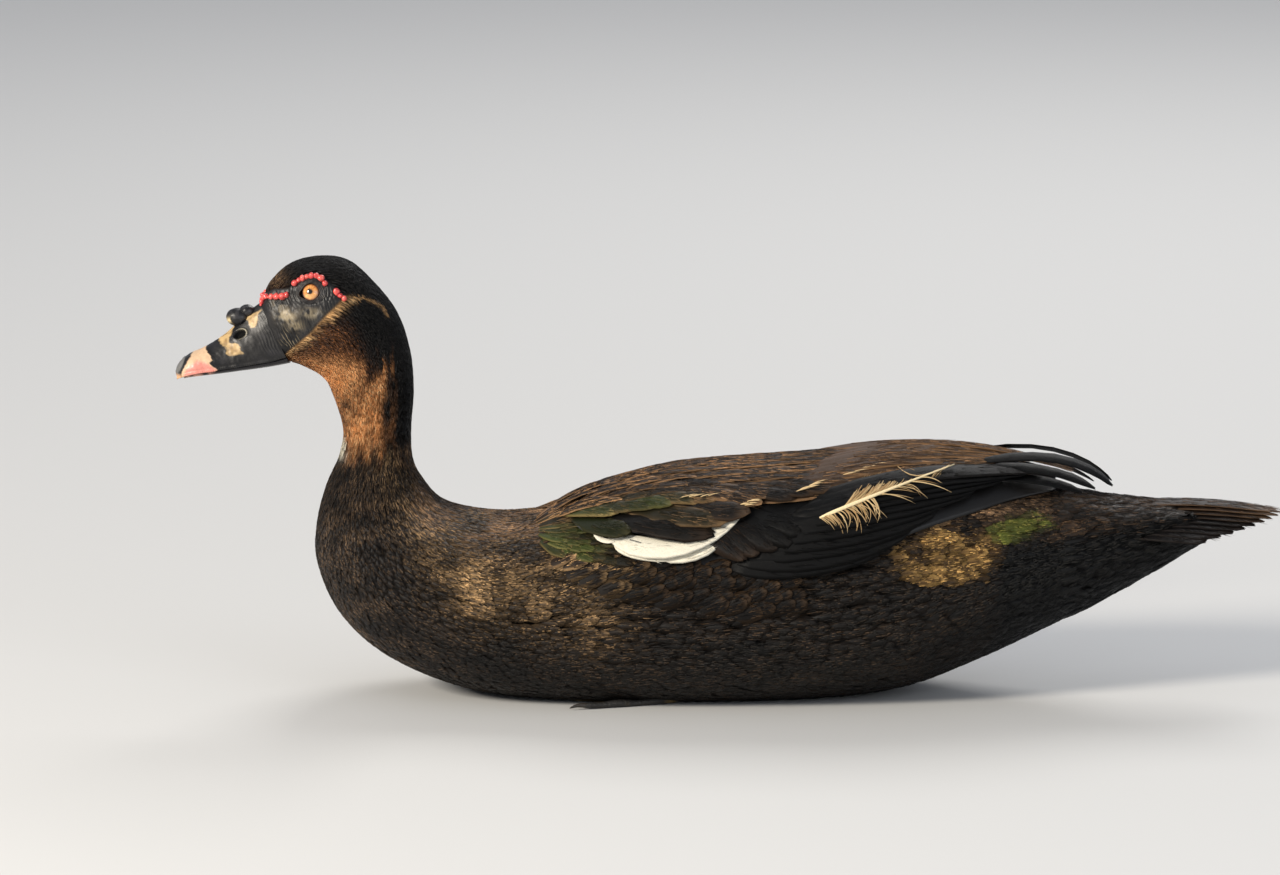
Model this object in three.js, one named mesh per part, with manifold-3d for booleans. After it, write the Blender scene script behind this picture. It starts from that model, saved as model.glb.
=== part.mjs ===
// A muscovy duck sitting on its belly, at life size.
// Millimetres. +Z is up, the bill points along -X, and the origin is on the floor under the middle.
import * as THREE from "three";
import { LoftGeometry } from "three/addons/geometries/LoftGeometry.js";
import { mergeVertices } from "three/addons/utils/BufferGeometryUtils.js";
import Module from "manifold-3d";

const wasm = await Module();
wasm.setup();

// Driving dimensions.
const gap = 0.3; // between two pieces that touch
const shortest = 0.05; // edges under this are closed up
const eyeAt = { x: -252, z: 246.5, radius: 7.4, inset: 5.6 }; // inset is the centre's depth in the face
const lid = { radius: 6.3, tube: 1.5, long: 1.12, high: 0.84 }; // ring of bare skin round the eye
const knob = { x: -297, z: 228.5, radii: [6.8, 5.6, 5.6] }; // at the root of the bill
const nostril = { x: -296, z: 219, y: 9.6, radii: [3.75, 4, 2.4], turn: 0.38 };
const toe = { radius: 3.4, taper: 1.2, height: 2.5, claw: 11, clawRadius: 1.7 };
const footRoot = { x: -22, y: 44, z: 5 };
const footStarts = -15; // the leg ends and the foot begins at this place along the length
const webThickness = 1.5;
const webHeight = 0.9; // of its underside over the floor
const stoutVane = 0.9; // thickness of the feathers that lie free
const shaftRise = 0.25; // of a feather's shaft over its vane
const rootDepth = 1.8; // how deep a feather's root is sunk
const long = [0, 0.16, 0.86, 1]; // sections of a long feather, as shares of its length
const short = [0, 0.3, 1];

// The body is one form, lofted through upright or leaning sections from the bill's root to the tail.
// Each has its point on the back line and on the belly line, half its width, the share of its
// height at which it is widest, and how square it is above and below that level.
const bodySections = [
  { back: [-283, 237.5], belly: [-265, 201], half: 13.5, widest: 0.42, above: 1.9, below: 2.1 },
  { back: [-276.5, 250.5], belly: [-261, 200.5], half: 17, widest: 0.44, above: 1.9, below: 2.1 },
  { back: [-264, 261.5], belly: [-254, 197.5], half: 20.5, widest: 0.47, above: 2, below: 2 },
  { back: [-247, 265.6], belly: [-247, 193.5], half: 23, widest: 0.47, above: 2.1, below: 2 },
  { back: [-230, 263], belly: [-242.5, 189], half: 24.5, widest: 0.48, above: 2.1, below: 2 },
  { back: [-214.5, 249.5], belly: [-240, 183.5], half: 24.5, widest: 0.5, above: 2.1, below: 2 },
  { back: [-200.5, 231], belly: [-238, 178], half: 23.5, widest: 0.5, above: 2, below: 2 },
  { back: [-193, 208], belly: [-235.8, 171.5], half: 21.5, widest: 0.5, above: 2, below: 2 },
  { back: [-191, 184], belly: [-233.6, 164], half: 20, widest: 0.5, above: 2, below: 2 },
  { back: [-192.6, 160], belly: [-232.9, 155], half: 20, widest: 0.5, above: 2, below: 2 },
  { back: [-191.5, 141], belly: [-236, 142], half: 23.5, widest: 0.5, above: 2, below: 2 },
  { back: [-184.5, 127.5], belly: [-243.6, 124.5], half: 32, widest: 0.5, above: 2, below: 2 },
  { back: [-173, 115.5], belly: [-249, 103], half: 43, widest: 0.5, above: 2, below: 2 },
  { back: [-155, 109.5], belly: [-249, 79], half: 56, widest: 0.5, above: 2, below: 2.1 },
  { back: [-131, 107.5], belly: [-235, 48], half: 68, widest: 0.5, above: 2, below: 2.2 },
  { back: [-103, 111], belly: [-205, 22], half: 76, widest: 0.5, above: 2, below: 2.3 },
  { back: [-70, 119], belly: [-155, 3], half: 83, widest: 0.49, above: 2.1, below: 2.4 },
  { back: [-33, 128], belly: [-90, -3], half: 87.5, widest: 0.47, above: 2.2, below: 2.5 },
  { back: [10, 133.5], belly: [-20, -4], half: 88.5, widest: 0.46, above: 2.2, below: 2.5 },
  { back: [58, 137], belly: [50, -2.5], half: 86, widest: 0.47, above: 2.2, below: 2.4 },
  { back: [105, 138.5], belly: [105, 4], half: 79, widest: 0.49, above: 2.2, below: 2.3 },
  { back: [148, 134], belly: [148, 19], half: 67, widest: 0.52, above: 2.1, below: 2.1 },
  { back: [186, 126.5], belly: [188, 37], half: 52, widest: 0.56, above: 2, below: 2 },
  { back: [218, 120], belly: [224, 55], half: 39, widest: 0.6, above: 2, below: 1.9 },
  { back: [248, 116], belly: [256, 73], half: 30, widest: 0.66, above: 2, below: 1.8 },
  { back: [278, 113], belly: [284, 90], half: 22, widest: 0.7, above: 2, below: 1.8 },
];
const neckStarts = 6.4; // the parts of the body begin at these sections
const torsoStarts = 11.3;
const tailStarts = 22.3;
const faceEnds = 8; // the relief of the face lies before this section
const faceFade = 8; // and fades out within this distance of the middle
const ringPoints = 28;
const ringCount = 40;

// Value between key rows, on a smooth curve through them.
function between(rows, at) {
  const k = Math.min(Math.max(at, 0), rows.length - 1 - 1e-9);
  const i = Math.floor(k);
  const t = k - i;
  const row = (n) => rows[Math.min(Math.max(n, 0), rows.length - 1)];
  return rows[0].map((_, c) => {
    const [p, q, r, s] = [row(i - 1)[c], row(i)[c], row(i + 1)[c], row(i + 2)[c]];
    return q + 0.5 * t * (r - p + t * (2 * p - 5 * q + 4 * r - s + t * (3 * (q - r) + s - p)));
  });
}

const bodyRows = bodySections.map((s) => [...s.back, ...s.belly, s.half, s.widest, s.above, s.below]);

// Point of the body at section k and at an angle from the back line, 0 to pi on the left side
// and on to 2 pi on the right, without the relief of the face.
function formPoint(k, angle) {
  const [bx, bz, vx, vz, half, widest, above, below] = between(bodyRows, k);
  const c = Math.cos(angle);
  const s = Math.sin(angle);
  const power = 2 / (c > 0 ? above : below);
  const rise = Math.sign(c) * Math.abs(c) ** power;
  const share = widest + rise * (c > 0 ? 1 - widest : widest);
  const y = -Math.sign(s) * Math.abs(s) ** power * half;
  return new THREE.Vector3(vx + (bx - vx) * share, y, vz + (bz - vz) * share);
}

// Swellings and hollows of the face, as rounded mounds in the side view.
const faceRelief = [
  { x: -253, z: 256, long: 11, high: 4, rise: 2.2 }, // brow
  { x: -252, z: 246.5, long: 9.5, high: 7.5, rise: 0.8 }, // mound of the eye
  { x: -268, z: 240, long: 7, high: 7, rise: -1.8 }, // hollow in front of the eye
  { x: -236, z: 222, long: 17, high: 13, rise: 1.8 }, // cheek
];

function outward(k, angle) {
  const e = 1e-3;
  const along = formPoint(k + e, angle).sub(formPoint(k - e, angle));
  const round = formPoint(k, angle + e).sub(formPoint(k, angle - e));
  return round.cross(along).normalize();
}

function bodyPoint(k, angle, lift = 0) {
  const p = formPoint(k, angle);
  let out = lift;
  if (k < faceEnds)
    for (const m of faceRelief) {
      const far = ((p.x - m.x) / m.long) ** 2 + ((p.z - m.z) / m.high) ** 2;
      out += m.rise * Math.exp(-far) * Math.min(1, Math.abs(p.y) / faceFade);
    }
  return out ? p.addScaledVector(outward(k, angle), out) : p;
}

// Section and angle at which the left side of the body has this place in the side view.
function sideAt(x, z) {
  const across = (k) => {
    const [bx, bz, vx, vz] = between(bodyRows, k);
    return (bx - vx) * (z - vz) - (bz - vz) * (x - vx);
  };
  let [low, high] = [0, bodyRows.length - 1];
  for (let i = 0; i < 40; i++) {
    const mid = (low + high) / 2;
    if (across(mid) > 0 === across(low) > 0) low = mid;
    else high = mid;
  }
  const [bx, bz, vx, vz, , widest, above, below] = between(bodyRows, low);
  const share = ((x - vx) * (bx - vx) + (z - vz) * (bz - vz)) / ((bx - vx) ** 2 + (bz - vz) ** 2);
  const rise = share > widest ? (share - widest) / (1 - widest) : (share - widest) / widest;
  const c = Math.sign(rise) * Math.min(1, Math.abs(rise)) ** ((rise > 0 ? above : below) / 2);
  return { k: low, angle: Math.acos(c) };
}

// Solids from closed three.js geometries, and back.
function solid(geometry) {
  const bare = new THREE.BufferGeometry().setAttribute("position", geometry.getAttribute("position"));
  bare.setIndex(geometry.index);
  const merged = mergeVertices(bare, 1e-4);
  const corners = merged.index.array;
  const faces = [];
  for (let i = 0; i < corners.length; i += 3) {
    const [a, b, c] = corners.slice(i, i + 3);
    if (a !== b && b !== c && a !== c) faces.push(a, b, c);
  }
  return new wasm.Manifold(
    new wasm.Mesh({
      numProp: 3,
      vertProperties: merged.attributes.position.array,
      triVerts: new Uint32Array(faces),
    }),
  );
}

function geometryOf(made) {
  const mesh = made.simplify(shortest).getMesh();
  const geometry = new THREE.BufferGeometry();
  geometry.setAttribute("position", new THREE.BufferAttribute(mesh.vertProperties, 3));
  geometry.setIndex(new THREE.BufferAttribute(mesh.triVerts, 1));
  geometry.computeVertexNormals();
  return geometry;
}

const largest = (made) =>
  made.decompose().reduce((a, b) => (b.volume() > a.volume() ? b : a));

const loft = (sections) => solid(new LoftGeometry(sections, { capStart: true, capEnd: true }));

const steps = (count, from = 0, to = 1) =>
  Array.from({ length: count + 1 }, (_, i) => from + ((to - from) * i) / count);

// Angles of a ring of so many points, and the ring's points from a function of the angle.
const ringOf = (count, pointAt) =>
  steps(count - 1, 0, (2 * Math.PI * (count - 1)) / count).map(pointAt);

// Ellipsoid, turned about the Y axis, where a positive turn sets its front end lower.
function ellipsoid(centre, radii, turn = 0, around = 12) {
  const geometry = new THREE.SphereGeometry(1, around, Math.round(0.62 * around));
  geometry.scale(...radii).rotateY(turn).translate(centre.x, centre.y, centre.z);
  return solid(geometry);
}

// A thin vane along a spine: half its width at each share of the length, its upper side towards
// facing(t), a low shaft along its middle, and its two edges set lower and tilted like a shingle.
// Both faces have the same triangles, so that they never cross.
function vane({ spine, facing, half, thick = 0.6, stations = long, tilt = 0, bend = 0.006 }) {
  const rows = stations.map((t) => {
    const ahead = spine(t + 1e-3).sub(spine(t - 1e-3)).normalize();
    const across = ahead.clone().cross(facing(t)).normalize();
    const up = across.clone().cross(ahead);
    const wide = half(t);
    const at = (share, height) =>
      spine(t)
        .addScaledVector(across, share * wide)
        .addScaledVector(up, height - bend * (share * wide) ** 2 + (t > 0 ? tilt * share : 0));
    const top = [at(-1, thick / 2), at(0, thick / 2 + shaftRise), at(1, thick / 2)];
    const under = [at(-1, -thick / 2), at(0, -thick / 2), at(1, -thick / 2)];
    return [...top, ...under];
  });
  const faces = [];
  const quad = (a, b, c, d) => faces.push(a, b, c, a, c, d);
  for (let i = 0; i < stations.length - 1; i++) {
    const [near, far] = [6 * i, 6 * i + 6];
    for (const j of [0, 1]) {
      quad(near + j, near + j + 1, far + j + 1, far + j);
      faces.push(near + j + 3, far + j + 4, near + j + 4, near + j + 3, far + j + 3, far + j + 4);
    }
    quad(near, far, far + 3, near + 3);
    quad(near + 2, near + 5, far + 5, far + 2);
  }
  const last = 6 * (stations.length - 1);
  quad(0, 3, 4, 1);
  quad(1, 4, 5, 2);
  quad(last, last + 1, last + 4, last + 3);
  quad(last + 1, last + 2, last + 5, last + 4);
  const geometry = new THREE.BufferGeometry().setFromPoints(rows.flat());
  geometry.setIndex(faces);
  return solid(geometry);
}

// Height of a feather's spine over what it grows from: sunk at the root, soon clear of it.
const emerge = (t, start, end) => (t < 0.1 ? -rootDepth : start + (end - start) * t);

// Half widths of a feather: narrow at the root, full over most of its length, and rounded or
// pointed at its tip.
const rounded = (wide) => (t) => wide * (0.55 + 0.45 * Math.min(1, 3 * t)) * (t > 0.98 ? 0.45 : 1);
const pointed = (wide) => (t) => wide * (t > 0.98 ? 0.16 : 1 - 0.55 * Math.max(0, t - 0.3));

// Tube of round sections along a path, with a radius at each share of its length.
function tube(path, radius, count, sides = 10) {
  const rings = steps(count).map((t) => {
    const ahead = path(t + 1e-3).sub(path(t - 1e-3)).normalize();
    const across = ahead.clone().cross(new THREE.Vector3(0, 0, 1)).normalize();
    const up = across.clone().cross(ahead);
    return ringOf(sides, (angle) =>
      path(t)
        .addScaledVector(up, radius(t) * Math.cos(angle))
        .addScaledVector(across, radius(t) * Math.sin(angle)),
    );
  });
  return loft(rings);
}

// Even draws from 0 to 1 that are the same every time.
function seeded(seed) {
  let state = seed;
  return () => {
    state = (state * 1664525 + 1013904223) % 4294967296;
    return state / 4294967296;
  };
}

// The same piece on the other side of the body.
const mirrored = (made) => made.mirror([0, 1, 0]);
const bothSides = (made) => made.add(mirrored(made));

// The whole body as one closed form, swollen by lift, then parted by thin cuts along sections.
function bodyForm(lift) {
  return loft(
    steps(ringCount, 0, bodyRows.length - 1).map((k) =>
      ringOf(ringPoints, (angle) => bodyPoint(k, angle, lift)),
    ),
  );
}

// The length of the body between two sections, short of each cut by half the gap.
function parted(form, from, to) {
  let part = form;
  const cut = (k, side) => {
    const [bx, bz, vx, vz] = between(bodyRows, k);
    const normal = new THREE.Vector3(bz - vz, 0, vx - bx).normalize().multiplyScalar(side);
    part = part.trimByPlane(normal.toArray(), normal.dot(new THREE.Vector3(bx, 0, bz)) + gap / 2);
  };
  if (from) cut(from, 1);
  if (to) cut(to, -1);
  return largest(part);
}

// Place on the body at a distance along the length and at an angle from the back line.
function sectionAt(x, angle) {
  let [low, high] = [11, bodyRows.length - 1];
  for (let i = 0; i < 30; i++) {
    const mid = (low + high) / 2;
    if (formPoint(mid, angle).x < x) low = mid;
    else high = mid;
  }
  return low;
}

const wholeBody = bodyForm(0).trimByPlane([0, 0, 1], 0);
const clearBody = bodyForm(gap);

// Eyes, and the rings of bare skin round them.
function eyePlace() {
  const { k, angle } = sideAt(eyeAt.x, eyeAt.z);
  const out = outward(k, angle);
  return { surface: bodyPoint(k, angle), out };
}

function eyeball(radius) {
  const { surface, out } = eyePlace();
  return ellipsoid(surface.addScaledVector(out, -eyeAt.inset), [radius, radius, radius], 0, 13);
}

function eyelids() {
  const { surface, out } = eyePlace();
  const rearward = new THREE.Vector3(1, 0, 0).addScaledVector(out, -out.x).normalize();
  const up = out.clone().cross(rearward);
  const ring = new THREE.TorusGeometry(lid.radius, lid.tube, 5, 14);
  ring.scale(lid.long, lid.high, 1);
  ring.applyMatrix4(new THREE.Matrix4().makeBasis(rearward, up, out).setPosition(surface));
  return solid(ring);
}

// Caruncles: rows of bulbs from the bill's root to the eye, over the eye, and behind it.
const caruncleRows = [
  { from: [-281.5, 243], by: [-276, 244.5], to: [-267, 246.5], count: 6, radius: 2.2 },
  { from: [-262.5, 252], by: [-253, 259.5], to: [-242.5, 252.5], count: 7, radius: 1.75 },
  { from: [-237.5, 249.5], by: [-235, 248], to: [-232.5, 244], count: 3, radius: 1.6 },
];

function caruncles() {
  const draw = seeded(11);
  let made = null;
  for (const row of caruncleRows)
    for (const t of steps(row.count - 1)) {
      const [x, z] = [0, 1].map(
        (n) => (1 - t) ** 2 * row.from[n] + 2 * t * (1 - t) * row.by[n] + t * t * row.to[n],
      );
      const radius = row.radius * (0.75 + 0.5 * draw());
      const { k, angle } = sideAt(x, z + 2 * (draw() - 0.5));
      const centre = bodyPoint(k, angle, 0.35 * radius);
      const bulb = solid(
        new THREE.SphereGeometry(radius, 6, 4).rotateZ(3 * draw()).translate(...centre.toArray()),
      );
      made = made ? made.add(bulb) : bulb;
    }
  return made;
}

function headForm() {
  const dressed = parted(wholeBody, 0, neckStarts).add(bothSides(eyelids().add(caruncles())));
  return largest(dressed.subtract(bothSides(eyeball(eyeAt.radius + gap))));
}

// The bill, in sections from its root to its tip. Each has its points on the ridge, on the edge
// of the upper half and under the lower half, half its width, and how square its roof is.
const billSections = [
  { ridge: [-283, 237.5], edge: [-267.2, 205.5], chin: [-265, 201], half: 13.4, roof: 1.9 },
  { ridge: [-289.5, 232], edge: [-275.5, 203.3], chin: [-274, 199.3], half: 13.2, roof: 1.7 },
  { ridge: [-297.5, 224.5], edge: [-285, 201.5], chin: [-284, 197.7], half: 12.9, roof: 1.65 },
  { ridge: [-305.5, 217.5], edge: [-295, 199.8], chin: [-294.5, 196.3], half: 12.5, roof: 1.7 },
  { ridge: [-312.5, 212.7], edge: [-304.5, 198.2], chin: [-304, 195], half: 12.2, roof: 1.85 },
  { ridge: [-319, 209.2], edge: [-313, 196.7], chin: [-313, 193.9], half: 12.1, roof: 2.1 },
  { ridge: [-325.5, 206.2], edge: [-321.5, 195.4], chin: [-321.5, 192.9], half: 11.6, roof: 2.3 },
  { ridge: [-330, 203], edge: [-327.5, 193.9], chin: [-327.5, 192], half: 10, roof: 2.4 },
  { ridge: [-332.8, 199.2], edge: [-331.4, 192.2], chin: [-331, 191], half: 7.2, roof: 2.4 },
  { ridge: [-334.2, 194.8], edge: [-333.6, 190.8], chin: [-333, 190], half: 3.4, roof: 2.2 },
];
const billRows = billSections.map((s) => [...s.ridge, ...s.edge, ...s.chin, s.half, s.roof]);
const lowerBillEnds = 7.4; // section where the lower half ends, inside the tip of the upper half
const lowerBillInset = 1.1; // of its sides from those of the upper half
const knobRear = { x: -291, z: 232.1, radii: [4.6, 5, 3.6] }; // the lower lobe behind the knob
const nail = { x: -328.4, z: 200.2, radii: [6.6, 5.6, 3.4], turn: -0.85 };

function billPoint(k, across, rise) {
  const [rx, rz, ex, ez, cx, cz, half] = between(billRows, k);
  const [fx, fz] = rise > 0 ? [rx - ex, rz - ez] : [ex - cx, ez - cz];
  return new THREE.Vector3(ex + fx * rise, across * half, ez + fz * rise);
}

function billForm(from, to, count, ringAt) {
  const root = between(billRows, 0);
  const forward = new THREE.Vector3(root[1] - root[3], 0, root[2] - root[0]).multiplyScalar(-1);
  forward.setLength(gap);
  return loft(steps(count, from, to).map((k) => ringAt(k).map((p) => (k === 0 ? p.add(forward) : p))));
}

function upperBill() {
  const shell = billForm(0, billRows.length - 1, 13, (k) => {
    const power = 2 / between(billRows, k)[7];
    const arch = steps(10, -Math.PI / 2, Math.PI / 2).map((angle) => {
      const across = Math.sign(angle) * Math.abs(Math.sin(angle)) ** power;
      return billPoint(k, across, Math.max(Math.cos(angle), 0) ** power);
    });
    return [...arch, billPoint(k, 0.4, 0.03), billPoint(k, -0.4, 0.03)];
  });
  const lump = ({ x, y = 0, z, radii, turn }, around) =>
    ellipsoid(new THREE.Vector3(x, -y, z), radii, turn, around);
  const bumps = lump(knob, 12).add(lump(knobRear, 10)).add(lump(nail, 11));
  const holes = bothSides(lump(nostril, 8));
  return largest(shell.add(bumps).subtract(holes));
}

function lowerBill() {
  return billForm(0, lowerBillEnds, 14, (k) => {
    const [, , ex, ez, cx, cz, half] = between(billRows, k);
    const deep = Math.hypot(ex - cx, ez - cz);
    const fit = (half - lowerBillInset) / half;
    return steps(8, -Math.PI / 2, Math.PI / 2).map((angle) => {
      const across = -Math.sign(angle) * fit * Math.abs(Math.sin(angle)) ** 0.8;
      const down = gap / deep + (1 - gap / deep) * Math.max(Math.cos(angle), 0) ** 0.8;
      return billPoint(k, across, -down);
    });
  });
}

// Folded wings. Each is lofted over the side of the body from its bend to its tip: the angles
// of its lower and upper edge, how thick it is at each, and how far its inner face is lifted.
const wingSections = [
  { x: -119, low: 0.52, high: 0.3, edge: 0.5, ridge: 0.5, lift: -1.5 },
  { x: -113, low: 0.74, high: 0.12, edge: 0.5, ridge: 1.6, lift: -1.5 },
  { x: -103, low: 0.9, high: -0.05, edge: 0.5, ridge: 1.8, lift: -1.5 },
  { x: -82, low: 1.04, high: -0.05, edge: 1, ridge: 5.2, lift: -1.5 },
  { x: -46, low: 1.16, high: -0.05, edge: 1.6, ridge: 6.2, lift: -1.5 },
  { x: -10, low: 1.24, high: -0.05, edge: 2, ridge: 5.4, lift: -1.5 },
  { x: 30, low: 1.29, high: -0.05, edge: 2.2, ridge: 4.4, lift: -1.5 },
  { x: 65, low: 1.24, high: -0.05, edge: 2.2, ridge: 5.2, lift: -1.5 },
  { x: 95, low: 1.1, high: -0.05, edge: 2.4, ridge: 7, lift: -1.5 },
  { x: 125, low: 0.95, high: -0.05, edge: 2.6, ridge: 9.8, lift: -1.5 },
  { x: 150, low: 0.8, high: -0.05, edge: 3, ridge: 11.8, lift: -1.5 },
  { x: 170, low: 0.62, high: -0.05, edge: 3.4, ridge: 11.8, lift: 0 },
  { x: 186, low: 0.5, high: -0.02, edge: 5.5, ridge: 10.3, lift: 3 },
  { x: 200, low: 0.4, high: 0.05, edge: 7, ridge: 8.8, lift: 6 },
];
const coreEnds = 11.5;
const coreSteps = 12;

const wingRows = wingSections.map((s) => [s.x, s.low, s.high, s.edge, s.ridge, s.lift]);

// Outer face of a wing at a place along the body, from 0 at the lower edge to 1 at the upper
// edge, raised by some millimetres.
function onWing(x, b, rise) {
  let [from, to] = [0, wingRows.length - 1];
  for (let i = 0; i < 30; i++) {
    const mid = (from + to) / 2;
    if (between(wingRows, mid)[0] < x) from = mid;
    else to = mid;
  }
  const [, low, high, edge, ridge] = between(wingRows, from);
  const angle = low + (high - low) * b;
  const k = sectionAt(x, angle);
  const height = edge + (ridge - edge) * Math.sin((Math.PI / 2) * b);
  return { point: bodyPoint(k, angle, height + rise), out: outward(k, angle) };
}

function wingCore() {
  const rings = steps(coreSteps, 0, coreEnds).map((n) => {
    const [x, low, high, edge, ridge, lift] = between(wingRows, n);
    const at = (b, height) => {
      const angle = low + (high - low) * b;
      return bodyPoint(sectionAt(x, angle), angle, height);
    };
    const outer = steps(6, 1, 0).map((b) => at(b, edge + (ridge - edge) * Math.sin((Math.PI / 2) * b)));
    const inner = steps(4, 0, 1).map((b) => at(b, lift));
    return [...outer, ...inner];
  });
  return loft(rings);
}

// Tiers of a folded wing, from below to above. Roots and tips are given at the first and the
// last feather of the tier, as the distance along the body and the share up the wing.
const wingTiers = [
  {
    name: "secondaries",
    count: 4,
    root: [[8, 0.1], [40, 0.4]],
    tip: [[112, 0.03], [180, 0.4]],
    half: 7.5,
    rise: [1.3, 1.6],
    climb: 0.9,
  },
  {
    name: "inner secondaries",
    count: 3,
    root: [[25, 0.56], [42, 0.88]],
    tip: [[160, 0.52], [197, 0.9]],
    half: 11,
    rise: [1.5, 2.2],
    climb: 1,
  },
  {
    name: "greater coverts",
    count: 5,
    root: [[-84, 0.29], [-4, 0.42]],
    tip: [[-48, 0.05], [52, 0.24]],
    half: 8.4,
    rise: [1.4, 3],
    stations: short,
  },
  {
    name: "median coverts",
    count: 4,
    root: [[-106, 0.46], [-32, 0.62]],
    tip: [[-74, 0.2], [16, 0.46]],
    half: 9,
    rise: [1.4, 3],
    stations: short,
  },
  {
    name: "scapulars",
    count: 5,
    root: [[-96, 0.74], [-8, 0.95]],
    tip: [[-38, 0.48], [120, 0.86]],
    half: 10,
    rise: [1.5, 3.4],
    climb: 0.5,
    sharp: true,
  },
];
const shingle = 0.8; // how much lower a feather's outer edge lies than its inner one, each way

function tierVane(tier, n, draw) {
  const share = n / (tier.count - 1);
  const place = ([first, last], c) => first[c] + (last[c] - first[c]) * share;
  const root = [place(tier.root, 0), place(tier.root, 1)];
  const tip = [place(tier.tip, 0) + 5 * (draw() - 0.5), place(tier.tip, 1) + 0.02 * (draw() - 0.5)];
  const at = (t) => [root[0] + (tip[0] - root[0]) * t, root[1] + (tip[1] - root[1]) * t];
  const above = (tier.climb ?? 0) * n;
  const wide = tier.half * (0.94 + 0.12 * draw());
  return vane({
    spine: (t) => onWing(...at(t), emerge(t, tier.rise[0] + above, tier.rise[1] + above)).point,
    facing: (t) => onWing(...at(t), 0).out,
    half: tier.sharp ? pointed(wide) : rounded(wide),
    tilt: shingle,
    stations: tier.stations,
  });
}

// The longest flight feathers reach out free over the tail: root and tip of each in space.
const longVanes = [
  { root: [150, -22, 142], tip: [231, -9, 127.2], arch: 5, half: 4.6 },
  { root: [150, -30, 137], tip: [224, -15, 124.6], arch: 3, half: 4.6 },
  { root: [145, -38, 131], tip: [214, -24, 123.4], arch: 2.4, half: 5 },
];

function longVane({ root, tip, arch, half }) {
  const [from, to] = [new THREE.Vector3(...root), new THREE.Vector3(...tip)];
  const raised = (t) => new THREE.Vector3(0, 0, arch * Math.sin(Math.PI * t));
  return vane({
    spine: (t) => from.clone().lerp(to, t).add(raised(t)),
    facing: () => new THREE.Vector3(0.2, -0.55, 1),
    half: pointed(half),
    stations: steps(3),
    thick: stoutVane,
  });
}

function wingForm() {
  const draw = seeded(5);
  const made = [wingCore(), ...longVanes.map(longVane)];
  for (const tier of wingTiers)
    for (let n = 0; n < tier.count; n++) made.push(tierVane(tier, n, draw));
  return wasm.Manifold.union(made).trimByPlane([0, -1, 0], gap / 2).subtract(clearBody);
}

// The worn feather that hangs loose from the left wing.
const looseVane = { root: [50, 0.52], tip: new THREE.Vector3(135.5, -38, 143), half: 3.4 };

function wornFeather() {
  const { point, out } = onWing(...looseVane.root, -2);
  return vane({
    spine: (t) => point.clone().lerp(looseVane.tip, t).addScaledVector(out, 3 * Math.sin(Math.PI * t)),
    facing: () => out,
    half: (t) => looseVane.half * (t > 0.98 ? 0.3 : 1 - 0.4 * t),
    thick: stoutVane,
  });
}

// Tail: long feathers from the rump, the middle pair longest and highest, the others lower and
// shorter on each side like a roof, with shorter coverts over and under their roots.
const tailFeathers = { pairs: 7, root: [222, 4, 112.5], tip: [333.6, 4.6, 109.8], half: 8, arch: 4.6 };
const tailSpread = { rootY: 14, rootDrop: 14, tipX: 46, tipY: 33, tipDrop: 12 };

function tailFeather(n) {
  const s = n / (tailFeathers.pairs - 1);
  const [rx, ry, rz] = tailFeathers.root;
  const [tx, ty, tz] = tailFeathers.tip;
  const root = new THREE.Vector3(rx, -ry - tailSpread.rootY * s, rz - tailSpread.rootDrop * s);
  const tip = new THREE.Vector3(
    tx - tailSpread.tipX * s ** 1.5,
    -ty - tailSpread.tipY * s,
    tz - tailSpread.tipDrop * (0.65 * s + 0.35 * s * s),
  );
  const arch = tailFeathers.arch * (1 - 0.4 * s);
  return vane({
    spine: (t) => root.clone().lerp(tip, t).add(new THREE.Vector3(0, 0, 4 * arch * t * (1 - t))),
    facing: () => new THREE.Vector3(0, -0.36 * s - 0.06, 1),
    half: (t) => tailFeathers.half * (0.5 + 0.5 * Math.min(1, 1.6 * t)) * (t > 0.98 ? 0.4 : 1),
    stations: [0, 0.5, 0.9, 1],
    bend: 0.004,
  });
}

// Coverts over and under the tail's roots: the angle round the body of the pair nearest the
// middle and the turn to the next pair, where they start and end, and their height at the tip.
const tailCoverts = [
  { pairs: 3, angle: 0.2, turn: 0.45, from: 206, to: 258, less: 8, half: 9, rise: 3.6 },
  { pairs: 2, angle: 2.8, turn: -0.6, from: 232, to: 281, less: 6, half: 9.5, rise: 1.5 },
];

function tailCovert({ angle: first, turn, from, to, less, half, rise }, n) {
  const angle = first + turn * n;
  const section = (t) => sectionAt(from + (to - less * n - from) * t, angle);
  return vane({
    spine: (t) => bodyPoint(section(t), angle, emerge(t, 1, rise)),
    facing: (t) => outward(section(t), angle),
    half: rounded(half),
    stations: short,
  });
}

function tailForm() {
  const feathers = [];
  for (let n = 0; n < tailFeathers.pairs; n++) feathers.push(tailFeather(n));
  for (const tier of tailCoverts)
    for (let n = 0; n < tier.pairs; n++) feathers.push(tailCovert(tier, n));
  const rump = parted(wholeBody, tailStarts, 0);
  return largest(wasm.Manifold.union([rump, ...feathers, ...feathers.map(mirrored)]));
}

// Legs lie folded under the belly, with the webbed feet flat on the floor. Each toe runs from
// the foot's root to its tip with a pad at each joint and a claw.
const toes = [
  { spread: 0.36, long: 60, joints: 2 },
  { spread: 0.02, long: 76, joints: 3 },
  { spread: -0.34, long: 70, joints: 4 },
];
const hind = {
  root: new THREE.Vector3(-23, -40.5, 4.5),
  tip: new THREE.Vector3(-10, -31.5, 2.1),
  radius: 2.2,
};
const ankle = { thin: 4.6, thick: 5.8, length: 55, rise: 6.4, inward: 2 };

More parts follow.
